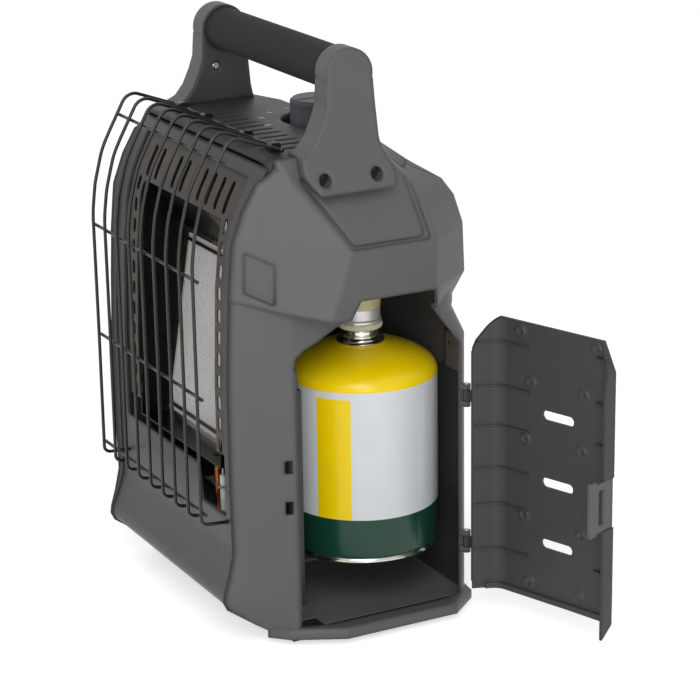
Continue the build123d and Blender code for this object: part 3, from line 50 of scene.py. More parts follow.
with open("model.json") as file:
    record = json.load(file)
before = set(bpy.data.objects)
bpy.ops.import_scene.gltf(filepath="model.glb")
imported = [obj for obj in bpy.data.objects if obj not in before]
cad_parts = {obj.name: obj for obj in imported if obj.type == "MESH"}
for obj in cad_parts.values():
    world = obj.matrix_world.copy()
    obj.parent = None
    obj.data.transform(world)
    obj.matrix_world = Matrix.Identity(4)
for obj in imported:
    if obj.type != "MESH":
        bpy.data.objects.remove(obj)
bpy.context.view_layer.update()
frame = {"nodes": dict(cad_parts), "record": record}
MM = 0.001
SEEN_RAYS = ("Is Camera Ray", "Is Glossy Ray", "Is Transmission Ray")


def linear(red, green, blue):
    """A display colour from 0 to 255 as the linear colour that shaders take."""
    shares = (red / 255, green / 255, blue / 255)
    return tuple(((s + 0.055) / 1.055) ** 2.4 if s > 0.04 else s / 12.92 for s in shares)


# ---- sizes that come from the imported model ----
CAN_LOW, CAN_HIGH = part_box("cartridge")
CAN_RADIUS = (CAN_HIGH.x - CAN_LOW.x) / 2
CAN_CENTRE = ((CAN_LOW + CAN_HIGH) / 2).to_2d()
KNOB_LOW, KNOB_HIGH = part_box("control_knob")
KNOB_CENTRE = ((KNOB_LOW + KNOB_HIGH) / 2).to_2d()
GRIP_LOW, GRIP_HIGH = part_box("handle_grip")
TRAY_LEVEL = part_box("compartment_liner")[0].z
HINGE = Vector(next(
    joint["pos_m"] for joint in frame["record"]["behaviour"]["joints"] if joint["name"] == "door_hinge"))
DOOR_TURN = radians(109.4)  # from shut to where it stands at rest
TOP_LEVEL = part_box("top_panel")[1].z
BAND_REACH = 96 * MM  # half the length of the black band on the shells
FUNNEL_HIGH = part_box("reflector")[1]



# ---- sizes of the pieces that only the looks have, in millimetres where not said ----
SHARP_ANGLE = radians(30)  # edges sharper than this stay sharp
RING_STEPS = 144
GRIP_STEPS = 96
GRIP_BORE = 9.1
MARK_STEPS = 32
DOOR_INSET = 1.6  # from the tray's edge out to the inner face of the closed door
MARK_PROFILE = (
    (0, 0.55), (2.4, 0.5), (3.0, 0.8), (3.7, 0.75), (4.2, 0.3), (5.6, 0.2), (6.0, -0.2), (0, -0.2),
)
DOOR_MARKS = (  # y and z, with the door closed
    (33.3, 181.2), (-11.7, 181.2), (37.9, 139.5), (-10.4, 140.9), (38.5, 83.7), (-10.4, 80.0),
    (33.9, 35.1), (-10.3, 35.5), (42.6, 216.0), (-22.0, 216.0),
)
DIAL_MARKS = (187.0, 212.0, 238.0, 272.0)  # degrees round the knob, from +X
DIAL_MARK_RADIUS = 40.5
DIAL_MARK_SIZE = (5.0, 1.1, 0.3)
NUT_PROFILE = (
    (5.7, 0), (14.3, 0), (15, 0.7), (15, 1.5), (14.2, 2.1), (13.3, 2.5), (13.1, 4.6), (13.8, 5.5),
    (14.6, 6), (5.7, 6),
)
SEAL_PROFILE = (
    (7.2, 0), (14.7, 0), (15.4, 0.5), (15.6, 1.4), (15.6, 2.6), (15.4, 3.5), (14.7, 4), (7.2, 4),
)
CONNECTOR_PROFILE = (
    (2.1, 0), (14.5, 0), (15.2, 0.6), (15.2, 2.1), (14.6, 2.8), (14.1, 3.1), (14.2, 3.8),
    (14.2, 10.4), (13.7, 11), (2.1, 11),
)
CAN_RIM = (  # heights over the can's foot
    (0, 9), (30, 7.4), (42, 5), (47, 2.2), (48.3, 0.7), (49.6, 0), (51.8, 0), (53.2, 0.5),
    (53.9, 1.6), (53.7, 2.7), (53.0, 3.5), (52.8, 4.2), (53.3, 5.0),
)
CAN_CUP = (  # heights from the can's top
    (16.9, -3.9), (17.0, -3.1), (16.6, -2.3), (15.8, -1.7), (15.1, -1.4), (14.8, -0.6),
    (14.4, -0.1), (13.6, 0), (13.0, -0.5), (12.8, -3.2), (8.7, -3.5), (0, -3.5),
)
DOME_RISE = 11.5  # how far the wall's line runs on into the dome's curve
DOME_PULL = (34, -8.0)  # where the curve is drawn to, with its height from the can's top
DOME_END = (16.6, -4.4)
DOME_STEPS = 28
BARE_RIM = 3.8  # height of the unpainted steel at the can's foot
BARE_CUP = 4.1  # and at its top


# ---- stage, in metres ----
LAMPS = (  # name, place, size, setting of its power
    ("key_lamp", (1.8, -0.9, 1.7), 1.4, "key"),
    ("fill_lamp", (-1.8, -1.6, 1.4), 1.6, "fill"),
    ("low_lamp", (1.9, -0.7, 0.5), 0.9, "low"),
)
LAMPS_AIM = Vector((0, 0, 0.2))
FLOOR_SIZE = 6.0
CAMERA_PLACE = Vector((1554.3, -765.8, 732.2)) * MM
CAMERA_TURN = radians(62.1)  # from -Y towards +X
CAMERA_RISE = radians(17.8)
CAMERA_ROLL = radians(-0.85)


# ---- settings ----
def colour_setting(name, description, red, green, blue):
    return FloatVectorProperty(
        name=name, description=description, subtype="COLOR", size=3, min=0.0, max=1.0,
        default=linear(red, green, blue),
    )


def length_setting(name, description, millimetres):
    return FloatProperty(
        name=name, description=description, subtype="DISTANCE", unit="LENGTH", min=0.0,
        default=millimetres * MM,
    )


class CasingSettings(bpy.types.PropertyGroup):
    """Moulded and folded pieces of the casing."""

    shell: colour_setting("Shells", "Colour of the moulded side shells and handle", 84, 84, 84)
    door: colour_setting("Door", "Colour of the door's inside", 50, 50, 51)
    front: colour_setting("Front frame", "Colour of the frame round the burner", 52, 52, 53)
    top: colour_setting("Top panel", "Colour of the panel under the handle", 40, 40, 41)
    inside: colour_setting("Inside", "Colour of the black painted sheet inside", 50, 50, 51)
    grain: length_setting("Grain", "Size of the moulded surface's grain", 0.55)
    softening: length_setting("Edge softening", "Radius that the moulded edges seem to have", 4.5)


class CartridgeSettings(bpy.types.PropertyGroup):
    """Colour blocks of the gas cartridge."""

    dome: colour_setting("Dome", "Colour of the shoulder and of the upright panel", 246, 212, 0)
    wall: colour_setting("Wall", "Colour of the middle of the wall", 214, 218, 220)
    foot: colour_setting("Foot", "Colour of the band at the bottom", 16, 62, 48)
    wall_top: length_setting("Wall top", "Height where the dome's colour starts", 173.0)
    wall_bottom: length_setting("Wall bottom", "Height where the bottom band ends", 80.0)
    steps: IntProperty(name="Steps", description="Divisions round the can", default=128, min=24)
    panel_start: FloatProperty(
        name="Panel start", description="Where the upright panel starts, from +X",
        subtype="ANGLE", unit="ROTATION", default=radians(-63))
    panel_end: FloatProperty(
        name="Panel end", description="Where the upright panel ends, from +X",
        subtype="ANGLE", unit="ROTATION", default=radians(-36))


class BurnerSettings(bpy.types.PropertyGroup):
    """Ceramic plaque and the sheet round it."""

    ceramic: colour_setting("Plaque", "Colour of the ceramic", 250, 247, 239)
    tarnish: colour_setting("Tarnish", "Colour of the heated steel sheet", 62, 58, 52)
    # Colour of the funnel's dark steel; its bright corner is a painted highlight.
    funnel_dark: colour_setting("Funnel dark", "Colour of the blackened funnel", 26, 24, 22)
    pitch: length_setting("Dot size", "Size of the plaque's fine dots", 1.5)


class GuardSettings(bpy.types.PropertyGroup):
    """Wire guard over the burner."""

    paint: colour_setting("Paint", "Colour of the coated wire", 16, 16, 17)


class StageSettings(bpy.types.PropertyGroup):
    """Camera, light and floor."""

    lens: FloatProperty(name="Lens", description="Focal length in millimetres", default=130.9)
    key: FloatProperty(name="Key light", description="Power of the main lamp", default=23.0)
    fill: FloatProperty(name="Fill light", description="Power of the second lamp", default=3.0)
    low: FloatProperty(name="Low light", description="Power of the lamp aimed into the bay", default=9.0)
    sky: FloatProperty(name="Sky", description="Strength of the even light from all round", default=0.42)
    floor: FloatProperty(name="Floor glow", description="White added to the seen floor", default=0.6)


# ---- materials ----
class Value:
    """Output of a node. Arithmetic on it adds Math nodes."""

    def __init__(self, finish, socket):
        self.finish, self.socket = finish, socket

    def maths(self, operation, *others):
        values = (self, *others)
        return self.finish.node("ShaderNodeMath", {"operation": operation}, dict(enumerate(values)))

    def __add__(self, other):
        return self.maths("ADD", other)

    def __sub__(self, other):
        return self.maths("SUBTRACT", other)

    def __rsub__(self, other):
        return self.maths("MULTIPLY_ADD", -1.0, other)

    def __mul__(self, other):
        return self.maths("MULTIPLY", other)

    def __gt__(self, other):
        return self.maths("GREATER_THAN", other)

    def __lt__(self, other):
        return self.maths("LESS_THAN", other)

    def __abs__(self):
        return self.maths("ABSOLUTE")

    __radd__ = __add__
    __rmul__ = __mul__


class Finish:
    """A material with its shader, and the nodes that feed it."""

    def __init__(self, name, colour, roughness, metallic=0.0, specular=0.5, coat=0.0, coat_roughness=0.1):
        self.material = bpy.data.materials.new(name)
        self.material.use_nodes = True
        self.tree = self.material.node_tree
        self.shader = self.tree.nodes["Principled BSDF"]
        self.plain = tuple(colour)
        self.set("Base Color", (*self.plain, 1.0))
        self.set("Roughness", roughness)
        self.set("Metallic", metallic)
        self.set("Specular IOR Level", specular)
        self.set("Coat Weight", coat)
        self.set("Coat Roughness", coat_roughness)
        self.material.diffuse_color = (*self.plain, 1.0)

    def set(self, socket, value):
        """A constant or a link on one of the shader's sockets."""
        if isinstance(value, Value):
            self.tree.links.new(value.socket, self.shader.inputs[socket])
        else:
            self.shader.inputs[socket].default_value = value

    def node(self, kind, settings=(), sockets=(), output=0):
        """Adds a node: settings first, then the values or links of its sockets."""
        made = self.tree.nodes.new(kind)
        for name, value in dict(settings).items():
            setattr(made, name, value)
        for name, value in dict(sockets).items():
            if isinstance(value, Value):
                self.tree.links.new(value.socket, made.inputs[name])
            else:
                made.inputs[name].default_value = value
        return Value(self, made.outputs[output])

    def place(self, location=(0, 0, 0), turn=(0, 0, 0), scale=(1, 1, 1)):
        """The piece's own coordinates in metres, scaled, turned, then moved."""
        own = self.node("ShaderNodeTexCoord", output="Object")
        return self.node("ShaderNodeMapping", {}, {
            "Vector": own, "Location": location, "Rotation": turn, "Scale": scale})

    def axes(self, vector):
        return [self.node("ShaderNodeSeparateXYZ", {}, {0: vector}, output=i) for i in range(3)]

    def noise(self, size, detail=2.0, roughness=0.5, where=None):
        """Cloudy values from 0 to 1, with patches of about the size in metres."""
        return self.node("ShaderNodeTexNoise", {}, {
            "Vector": where or self.place(), "Scale": 1.0 / size, "Detail": detail, "Roughness": roughness})

    def cells(self, size, where=None):
        """Distance from the middles of random cells of about the size in metres."""
        return self.node("ShaderNodeTexVoronoi", {}, {"Vector": where or self.place(), "Scale": 1.0 / size})

    def fade(self, value, start, end, low=0.0, high=1.0):
        """Smooth change from low to high as the value goes from start to end."""
        return self.node("ShaderNodeMapRange", {"interpolation_type": "SMOOTHSTEP"}, {
            0: value, 1: start, 2: end, 3: low, 4: high})

    def mix(self, share, first, second):
        """Colour between two others."""
        ends = [(*c, 1.0) if isinstance(c, tuple) and len(c) == 3 else c for c in (first, second)]
        return self.node("ShaderNodeMix", {"data_type": "RGBA"}, {0: share, 6: ends[0], 7: ends[1]}, output=2)

    def shade(self, share):
        """The plain colour made lighter or darker by a factor."""
        dark = tuple(c * 0.5 for c in self.plain)
        light = tuple(min(c * 1.5, 1.0) for c in self.plain)
        return self.mix(share - 0.5, dark, light)

    def relief(self, height, depth, strength=1.0, softening=0.0):
        """Bump from a height of 0 to 1, with its depth in metres, over softened edges."""
        sockets = {"Height": height, "Distance": depth, "Strength": strength}
        if softening:
            sockets["Normal"] = self.node("ShaderNodeBevel", {"samples": 6}, {"Radius": softening})
        self.set("Normal", self.node("ShaderNodeBump", {}, sockets))


def moulded(name, colour, roughness=0.5, grain=0.55 * MM, softening=2.0 * MM, depth=0.06 * MM, contrast=0.10):
    """Grained moulded plastic with soft edges."""
    finish = Finish(name, colour, roughness, specular=0.42)
    speckle = finish.noise(grain, 3.0, 0.65)
    cloud = finish.noise(45 * MM, 2.0)
    finish.set("Base Color", finish.shade(1.0 + (speckle - 0.5) * contrast * 4 + (cloud - 0.5) * contrast))
    finish.set("Roughness", (speckle - 0.5) * 0.12 + (cloud - 0.5) * 0.10 + roughness)
    finish.relief(speckle, depth, 0.7, softening)
    return finish.material


def coated(name, colour, roughness=0.42, softening=0.6 * MM):
    """Painted sheet or wire with a faint orange peel and dusty patches."""
    finish = Finish(name, colour, roughness, specular=0.5)
    peel = finish.noise(1.6 * MM, 2.0)
    dust = finish.noise(28 * MM, 4.0, 0.6)
    finish.set("Base Color", finish.shade(1.0 + (dust - 0.5) * 0.24 + (peel - 0.5) * 0.12))
    finish.set("Roughness", roughness + (dust - 0.5) * 0.18)
    finish.relief(peel, 0.05 * MM, 0.5, softening)
    return finish.material


def brushed(name, colour, roughness=0.28, grain=(1.0, 1.0, 14.0), softening=0.4 * MM):
    """Bare metal with fine lines along one axis and faint smudges."""
    finish = Finish(name, colour, roughness, metallic=1.0)
    lines = finish.noise(0.9 * MM, 3.0, 0.6, finish.place(scale=tuple(1.0 / g for g in grain)))
    smudge = finish.noise(22 * MM, 3.0)
    finish.set("Base Color", finish.shade(1.0 + (lines - 0.5) * 0.18 + (smudge - 0.5) * 0.18))
    finish.set("Roughness", roughness + (lines - 0.5) * 0.16 + (smudge - 0.5) * 0.12)
    finish.relief(lines, 0.015 * MM, 0.5, softening)
    return finish.material


def dress(names, material):
    """Gives the material to every slot of the named nodes of the model."""
    for name in names:
        for slot in frame["nodes"][name].material_slots:
            slot.material = material


# ---- mesh helpers ----
def finished(name, mesh, material, body):
    """Object from a bmesh, with its normals, finish, body and material slot set."""
    data = bpy.data.meshes.new(name)
    bmesh.ops.recalc_face_normals(mesh, faces=mesh.faces)
    mesh.to_mesh(data)
    mesh.free()
    piece = bpy.data.objects.new(name, data)
    bpy.context.scene.collection.objects.link(piece)
    data.materials.append(material)
    data.shade_smooth()
    data.set_sharp_from_angle(angle=SHARP_ANGLE)
    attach(piece, body)
    return piece


def spun(profile, steps, place=Matrix(), mesh=None):
    """Turned form from a profile of (radius, height) in millimetres, placed by a matrix."""
    mesh = mesh or bmesh.new()
    before = set(mesh.verts)
    corners = [mesh.verts.new((radius * MM, 0.0, height * MM)) for radius, height in profile]
    edges = [mesh.edges.new(pair) for pair in zip(corners, corners[1:])]
    bmesh.ops.spin(
        mesh, geom=corners + edges, cent=(0, 0, 0), axis=(0, 0, 1), angle=2 * pi, steps=steps, use_merge=True)
    bmesh.ops.remove_doubles(mesh, verts=[v for v in mesh.verts if v not in before], dist=0.001 * MM)
    bmesh.ops.transform(mesh, matrix=place, verts=[v for v in mesh.verts if v not in before])
    return mesh


def looped(profile):
    """Profile of a ring, closed back to its first point."""
    return [*profile, profile[0]]


def above(node):
    """Place of the foot of a node's upright axis."""
    low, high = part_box(node)
    return Matrix.Translation(((low.x + high.x) / 2, (low.y + high.y) / 2, low.z))


# ---- operators ----
class HEATER_OT_casing(bpy.types.Operator):
    """Finish the shells, the panels and the tray, and make the foam grip and the door's marks"""

    bl_idname = "heater.casing"
    bl_label = "Casing"

    def execute(self, context):
        s = context.scene.heater_casing
        shell = self.shell(s)
        dress(["right_side_shell", "left_side_shell", "handle_support_right", "rear_cover"], shell)
        # The left support gets painted shade on its inner face.
        dress(["handle_support_left"], self.support_with_painted_shade(s))
        dress(["front_frame"], coated("front_paint", s.front, 0.45, s.softening))
        dress(["top_panel"], moulded("top_plastic", s.top, grain=s.grain, softening=s.softening))
        dress(["door_panel"], moulded("door_plastic", s.door, grain=s.grain, softening=1.0 * MM))
        dress(["door_latch"], moulded("latch_plastic", s.shell, grain=s.grain, softening=0.6 * MM))
        dress(["base_tray"], moulded("tray_plastic", linear(30, 30, 31)))
        dress(["feet"], moulded("foot_rubber", linear(24, 24, 24), roughness=0.8))
        inside = coated("inside_paint", s.inside)
        dress(["burner_stand", "lower_shelf"], inside)
        dress(["compartment_liner"], self.liner(s))
        self.grip()
        self.door_marks(s)
        return {"FINISHED"}

    @staticmethod
    def shell(s):
        """Grained plastic, with a narrow black band where the rear cover's top begins."""
        finish = Finish("shell_plastic", s.shell, 0.5, specular=0.42)
        x, y, _ = finish.axes(finish.place())
        speckle = finish.noise(s.grain, 3.0, 0.65)
        cloud = finish.noise(45 * MM, 2.0)
        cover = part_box("rear_cover")[0].y
        band = (y > cover - 4 * MM) * (y < cover + 0.5 * MM) * (abs(x) < BAND_REACH)
        plain = finish.shade(1.0 + (speckle - 0.5) * 0.4 + (cloud - 0.5) * 0.1)
        finish.set("Base Color", finish.mix(band, plain, (0.004, 0.004, 0.004)))
        finish.set("Roughness", (speckle - 0.5) * 0.12 + (cloud - 0.5) * 0.1 + 0.5)
        finish.relief(speckle, 0.06 * MM, 0.7, s.softening)
        return finish.material

    @staticmethod
    def support_with_painted_shade(s):
        """Shell plastic, with painted shade darkening the face that looks at the other support."""
        finish = Finish("support_plastic", s.shell, 0.5, specular=0.42)
        x = finish.axes(finish.place())[0]
        speckle = finish.noise(s.grain, 3.0, 0.65)
        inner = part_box("handle_support_left")[1].x
        # Mask of painted shade: the face that looks at the other support fades to the darker grey below.
        face = finish.fade(x, inner - 1.2 * MM, inner - 0.2 * MM)
        plain = finish.shade(1.0 + (speckle - 0.5) * 0.4)
        finish.set("Base Color", finish.mix(face * 0.75, plain, linear(42, 42, 43)))
        finish.set("Roughness", (speckle - 0.5) * 0.12 + 0.5)
        finish.relief(speckle, 0.06 * MM, 0.7, s.softening)
        return finish.material

    @staticmethod
    def liner(s):
        """Black painted sheet with a paler floor, painted light where the light falls on it, patchy with
        dust.
        """
        finish = Finish("liner_paint", s.inside, 0.45)
        z = finish.axes(finish.place())[2]
        dust = finish.noise(24 * MM, 4.0, 0.6)
        peel = finish.noise(1.6 * MM, 2.0)
        # Mask of the floor's painted light, fading out a few millimetres up the walls.
        floor = finish.fade(z, TRAY_LEVEL + 1.5 * MM, TRAY_LEVEL + 4 * MM, 1.0, 0.0)
        walls = finish.shade(1.0 + (dust - 0.5) * 0.3)
        # The floor is lightened towards this grey as painted light, in patches that follow the dust.
        finish.set("Base Color", finish.mix(floor * (0.7 + (dust - 0.5) * 0.5), walls, linear(112, 112, 113)))
        finish.set("Roughness", 0.45 + (dust - 0.5) * 0.2)
        finish.relief(peel, 0.05 * MM, 0.5, 0.6 * MM)
        return finish.material

    @staticmethod
    def grip():
        """Foam sleeve with rolled ends and a faint ring beside each socket."""
        foam = moulded("grip_foam", linear(30, 30, 31), roughness=0.92, grain=1.1 * MM, softening=1.0 * MM,
                       depth=0.3 * MM, contrast=0.35)
        half, radius = (GRIP_HIGH.x - GRIP_LOW.x) / 2 / MM, (GRIP_HIGH.z - GRIP_LOW.z) / 2 / MM
        end = [(GRIP_BORE, half), (radius - 0.7, half), (radius - 0.15, half - 0.7), (radius, half - 1.6),
               (radius, half - 5.2), (radius - 0.5, half - 6.0), (radius, half - 6.8)]
        other = [(r, -height) for r, height in reversed(end)]
        across = Matrix.Translation((GRIP_LOW + GRIP_HIGH) / 2) @ Matrix.Rotation(pi / 2, 4, "Y")
        piece = finished("foam_grip", spun(looped(end + other), GRIP_STEPS, across), foam, "cabinet")
        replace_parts(piece, "handle_grip")

    @staticmethod
    def door_marks(s):
        """Round moulding marks on the inside of the door."""
        plastic = moulded("mark_plastic", s.door, 0.38, s.grain, 0.3 * MM)
        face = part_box("base_tray")[1].x + DOOR_INSET * MM
        opened = Matrix.Translation(HINGE) @ Matrix.Rotation(DOOR_TURN, 4, "Z") @ Matrix.Translation(-HINGE)
        mesh = bmesh.new()
        for y, z in DOOR_MARKS:
            place = Matrix.Translation((face, y * MM, z * MM)) @ Matrix.Rotation(-pi / 2, 4, "Y")
            spun(MARK_PROFILE, MARK_STEPS, opened @ place, mesh)
        finished("door_marks", mesh, plastic, "door")


class HEATER_OT_guard(bpy.types.Operator):
    """Finish the wire guard and its clips"""

    bl_idname = "heater.guard"
    bl_label = "Wire guard"

    def execute(self, context):
        paint = coated("wire_paint", context.scene.heater_guard.paint, 0.32)
        dress(["guard_wires", "guard_cross_wires", "guard_clips"], paint)
        return {"FINISHED"}


class HEATER_OT_burner(bpy.types.Operator):
    """Finish the ceramic plaque, its box, the reflector and the vent panel"""

    bl_idname = "heater.burner"
    bl_label = "Burner"

    def execute(self, context):
        s = context.scene.heater_burner
        dress(["ceramic_plaque"], self.ceramic(s))
        dress(["vent_panel"], self.heated(s))
        dress(["reflector"], self.funnel(s))
        dress(["burner_box", "burner_rim"], brushed("bright_steel", linear(206, 204, 198), 0.2))
        dress(["plaque_clips"], brushed("dark_clips", linear(58, 54, 50), 0.4))
        dress(["pilot_bracket"], brushed("bracket_steel", linear(190, 188, 182), 0.3))
        dress(["mixing_tube"], brushed("tube_steel", linear(150, 148, 143), 0.35))
        dress(["igniter_electrode"], moulded("igniter_ceramic", linear(228, 226, 218), grain=1.0 * MM))
        dress(["thermocouple", "burner_pipe"], brushed("copper", linear(154, 90, 53), 0.35))
        return {"FINISHED"}

    @staticmethod
    def ceramic(s):
        """Cream ceramic with fine dots darkened as painted shade in the burner holes, and faint scorching."""
        finish = Finish("plaque_ceramic", s.ceramic, 0.85, specular=0.2)
        dots = finish.fade(finish.cells(s.pitch), 0.12, 0.36, 1.0, 0.0)
        sizes = finish.noise(5 * MM, 2.0)
        cloud = finish.noise(18 * MM, 3.0)
        base = finish.shade(1.0 + (cloud - 0.5) * 0.14)
        # Some of the dots are darkened towards the brown grey below, as painted shade inside the burner
        # holes.
        painted_hole_shade = dots * finish.fade(sizes, 0.4, 0.62) * 0.75
        finish.set("Base Color", finish.mix(painted_hole_shade, base, linear(120, 112, 100)))
        finish.relief(1.0 - dots, 0.3 * MM, 0.7)
        return finish.material

    @staticmethod
    def heated(s):
        """Dark steel sheet with brown and straw heat clouds."""
        finish = Finish("heated_steel", s.tarnish, 0.5, metallic=0.35)
        cloud = finish.noise(16 * MM, 3.0, 0.6)
        speck = finish.noise(1.2 * MM, 3.0, 0.6)
        colour = finish.shade(1.0 + (cloud - 0.5) * 0.9 + (speck - 0.5) * 0.35)
        straw = finish.fade(finish.noise(30 * MM, 2.0), 0.5, 0.75)
        finish.set("Base Color", finish.mix(straw * 0.5, colour, linear(84, 74, 58)))
        finish.set("Roughness", 0.5 + (cloud - 0.5) * 0.25)
        finish.relief(speck, 0.04 * MM, 0.6, 0.5 * MM)
        return finish.material

    @staticmethod
    def funnel(s):
        """Dark steel on the funnel, with a painted highlight towards its upper right corner."""
        finish = Finish("sooted_steel", s.funnel_dark, 0.3, metallic=0.9)
        x, _, z = finish.axes(finish.place())
        cloud = finish.noise(14 * MM, 3.0, 0.6)
        # Mask of the painted highlight: the funnel's upper right corner, with cloudy edges.
        high = FUNNEL_HIGH.z - 42 * MM
        painted_highlight = finish.fade(z + (cloud - 0.5) * 16 * MM, high, high + 18 * MM)
        side = FUNNEL_HIGH.x - 40 * MM
        painted_highlight = painted_highlight * finish.fade(x + (cloud - 0.5) * 12 * MM, side, side + 16 * MM)
        dark_base = finish.shade(1.0 + (cloud - 0.5) * 0.9)
        # The painted highlight lightens the dark steel towards this pale grey and makes it glossier.
        finish.set("Base Color", finish.mix(painted_highlight, dark_base, linear(212, 208, 200)))
        finish.set("Roughness", 0.34 - painted_highlight * 0.16 + (cloud - 0.5) * 0.15)
        finish.relief(finish.noise(7 * MM, 2.0), 0.25 * MM, 0.5)
        return finish.material


class HEATER_OT_gas_train(bpy.types.Operator):
    """Finish the valve, pipes and knob, turn the rings over the can and set the knob's marks"""

    bl_idname = "heater.gas_train"
    bl_label = "Valve and regulator"

    def execute(self, context):
        chrome = brushed("chrome", linear(216, 212, 202), 0.2, grain=(1, 1, 0.2))
        brass = brushed("brass", linear(184, 150, 74), 0.3)
        dress(["gas_jet", "gas_valve_body", "valve_bonnet", "valve_rotor", "cartridge_valve"], brass)
        self.turned("turned_nut", "regulator_nut", "steel", chrome, NUT_PROFILE)
        self.turned("turned_connector", "connector_tube", "aluminium", self.aluminium(), CONNECTOR_PROFILE)
        cream = moulded("seal_plastic", linear(214, 206, 184), 0.4, 0.5 * MM, 0.3 * MM, 0.15 * MM, 0.3)
        self.turned("knurled_seal", "seal_ring", "cream_plastic", cream, SEAL_PROFILE, ridges=True)
        dress(["regulator_neck", "regulator_body"], coated("beige_metal", linear(198, 191, 150)))
        dress(["regulator_pipe"], brushed("pipe_copper", linear(160, 96, 58), 0.35))
        plain_steel = brushed("plain_steel", linear(180, 180, 178))
        dress(["valve_stem", "knob_spring", "hinge_pins", "latch_pin"], plain_steel)
        dress(["control_knob"], moulded("knob_plastic", linear(92, 95, 100), softening=0.8 * MM))
        dress(["cartridge_gasket"], moulded("gasket_rubber", linear(20, 20, 20), roughness=0.75))
        dress(["handle_screws", "cover_screws"], coated("black_screws", linear(28, 28, 29), 0.35, 0.2 * MM))
        dress(["handle_tube_screws", "handle_tube"], brushed("zinc_steel", linear(190, 190, 188), 0.3))
        dress(["tilt_switch"], moulded("switch_plastic", linear(30, 30, 31)))
        self.dial_marks()
        return {"FINISHED"}

    @staticmethod
    def turned(name, node, slot, material, profile, ridges=False):
        """Ring that takes the place of a plain one, with ridges round its edge if asked."""
        mesh = spun(looped(profile), RING_STEPS)
        if ridges:
            edge = max(radius for radius, height in profile) * MM
            for vert in mesh.verts:
                step = round(atan2(vert.co.y, vert.co.x) / (2 * pi / RING_STEPS))
                if step % 2 and vert.co.to_2d().length > edge - 0.3 * MM:
                    vert.co *= Vector((0.982, 0.982, 1.0))
        bmesh.ops.transform(mesh, matrix=above(node), verts=mesh.verts)
        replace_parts(finished(name, mesh, material, "cabinet"), node)

    @staticmethod
    def aluminium():
        """Satin turned aluminium over a polished dark foot."""
        finish = Finish("turned_aluminium", linear(226, 227, 224), 0.35, metallic=0.45)
        z = finish.axes(finish.place())[2]
        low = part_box("connector_tube")[0].z
        foot = finish.fade(z, low + 2.6 * MM, low + 3.2 * MM, 1.0, 0.0)
        rings = finish.noise(0.5 * MM, 2.0, 0.5, finish.place(scale=(0.05, 0.05, 1.0)))
        plain = finish.shade(1.0 + (rings - 0.5) * 0.25)
        finish.set("Base Color", finish.mix(foot, plain, linear(214, 212, 204)))
        finish.set("Roughness", 0.38 - foot * 0.24 + (rings - 0.5) * 0.1)
        finish.relief(rings, 0.03 * MM, 0.5, 0.2 * MM)
        return finish.material

    @staticmethod
    def dial_marks():
        """Short white marks round the knob's dish."""
        white = moulded("mark_ink", linear(226, 226, 224), 0.45, 0.3 * MM, 0.1 * MM, 0.02 * MM)
        mesh = bmesh.new()
        for degrees in DIAL_MARKS:
            place = Matrix.Translation((KNOB_CENTRE.x, KNOB_CENTRE.y, TOP_LEVEL))
            outwards = Matrix.Translation((DIAL_MARK_RADIUS * MM, 0, 0))
            place = place @ Matrix.Rotation(radians(degrees), 4, "Z") @ outwards
            stretch = Matrix.Diagonal([size * MM for size in DIAL_MARK_SIZE] + [1])
            made = bmesh.ops.create_cube(mesh, size=1.0, matrix=place @ stretch)
            edges = dict.fromkeys(edge for vert in made["verts"] for edge in vert.link_edges)
            upright = [e for e in edges if abs((e.verts[0].co - e.verts[1].co).z) > 0.2 * MM]
            bmesh.ops.bevel(mesh, geom=upright, offset=0.5 * MM, segments=4, profile=0.5,
                            affect="EDGES", material=-1)
        finished("dial_marks", mesh, white, "cabinet")


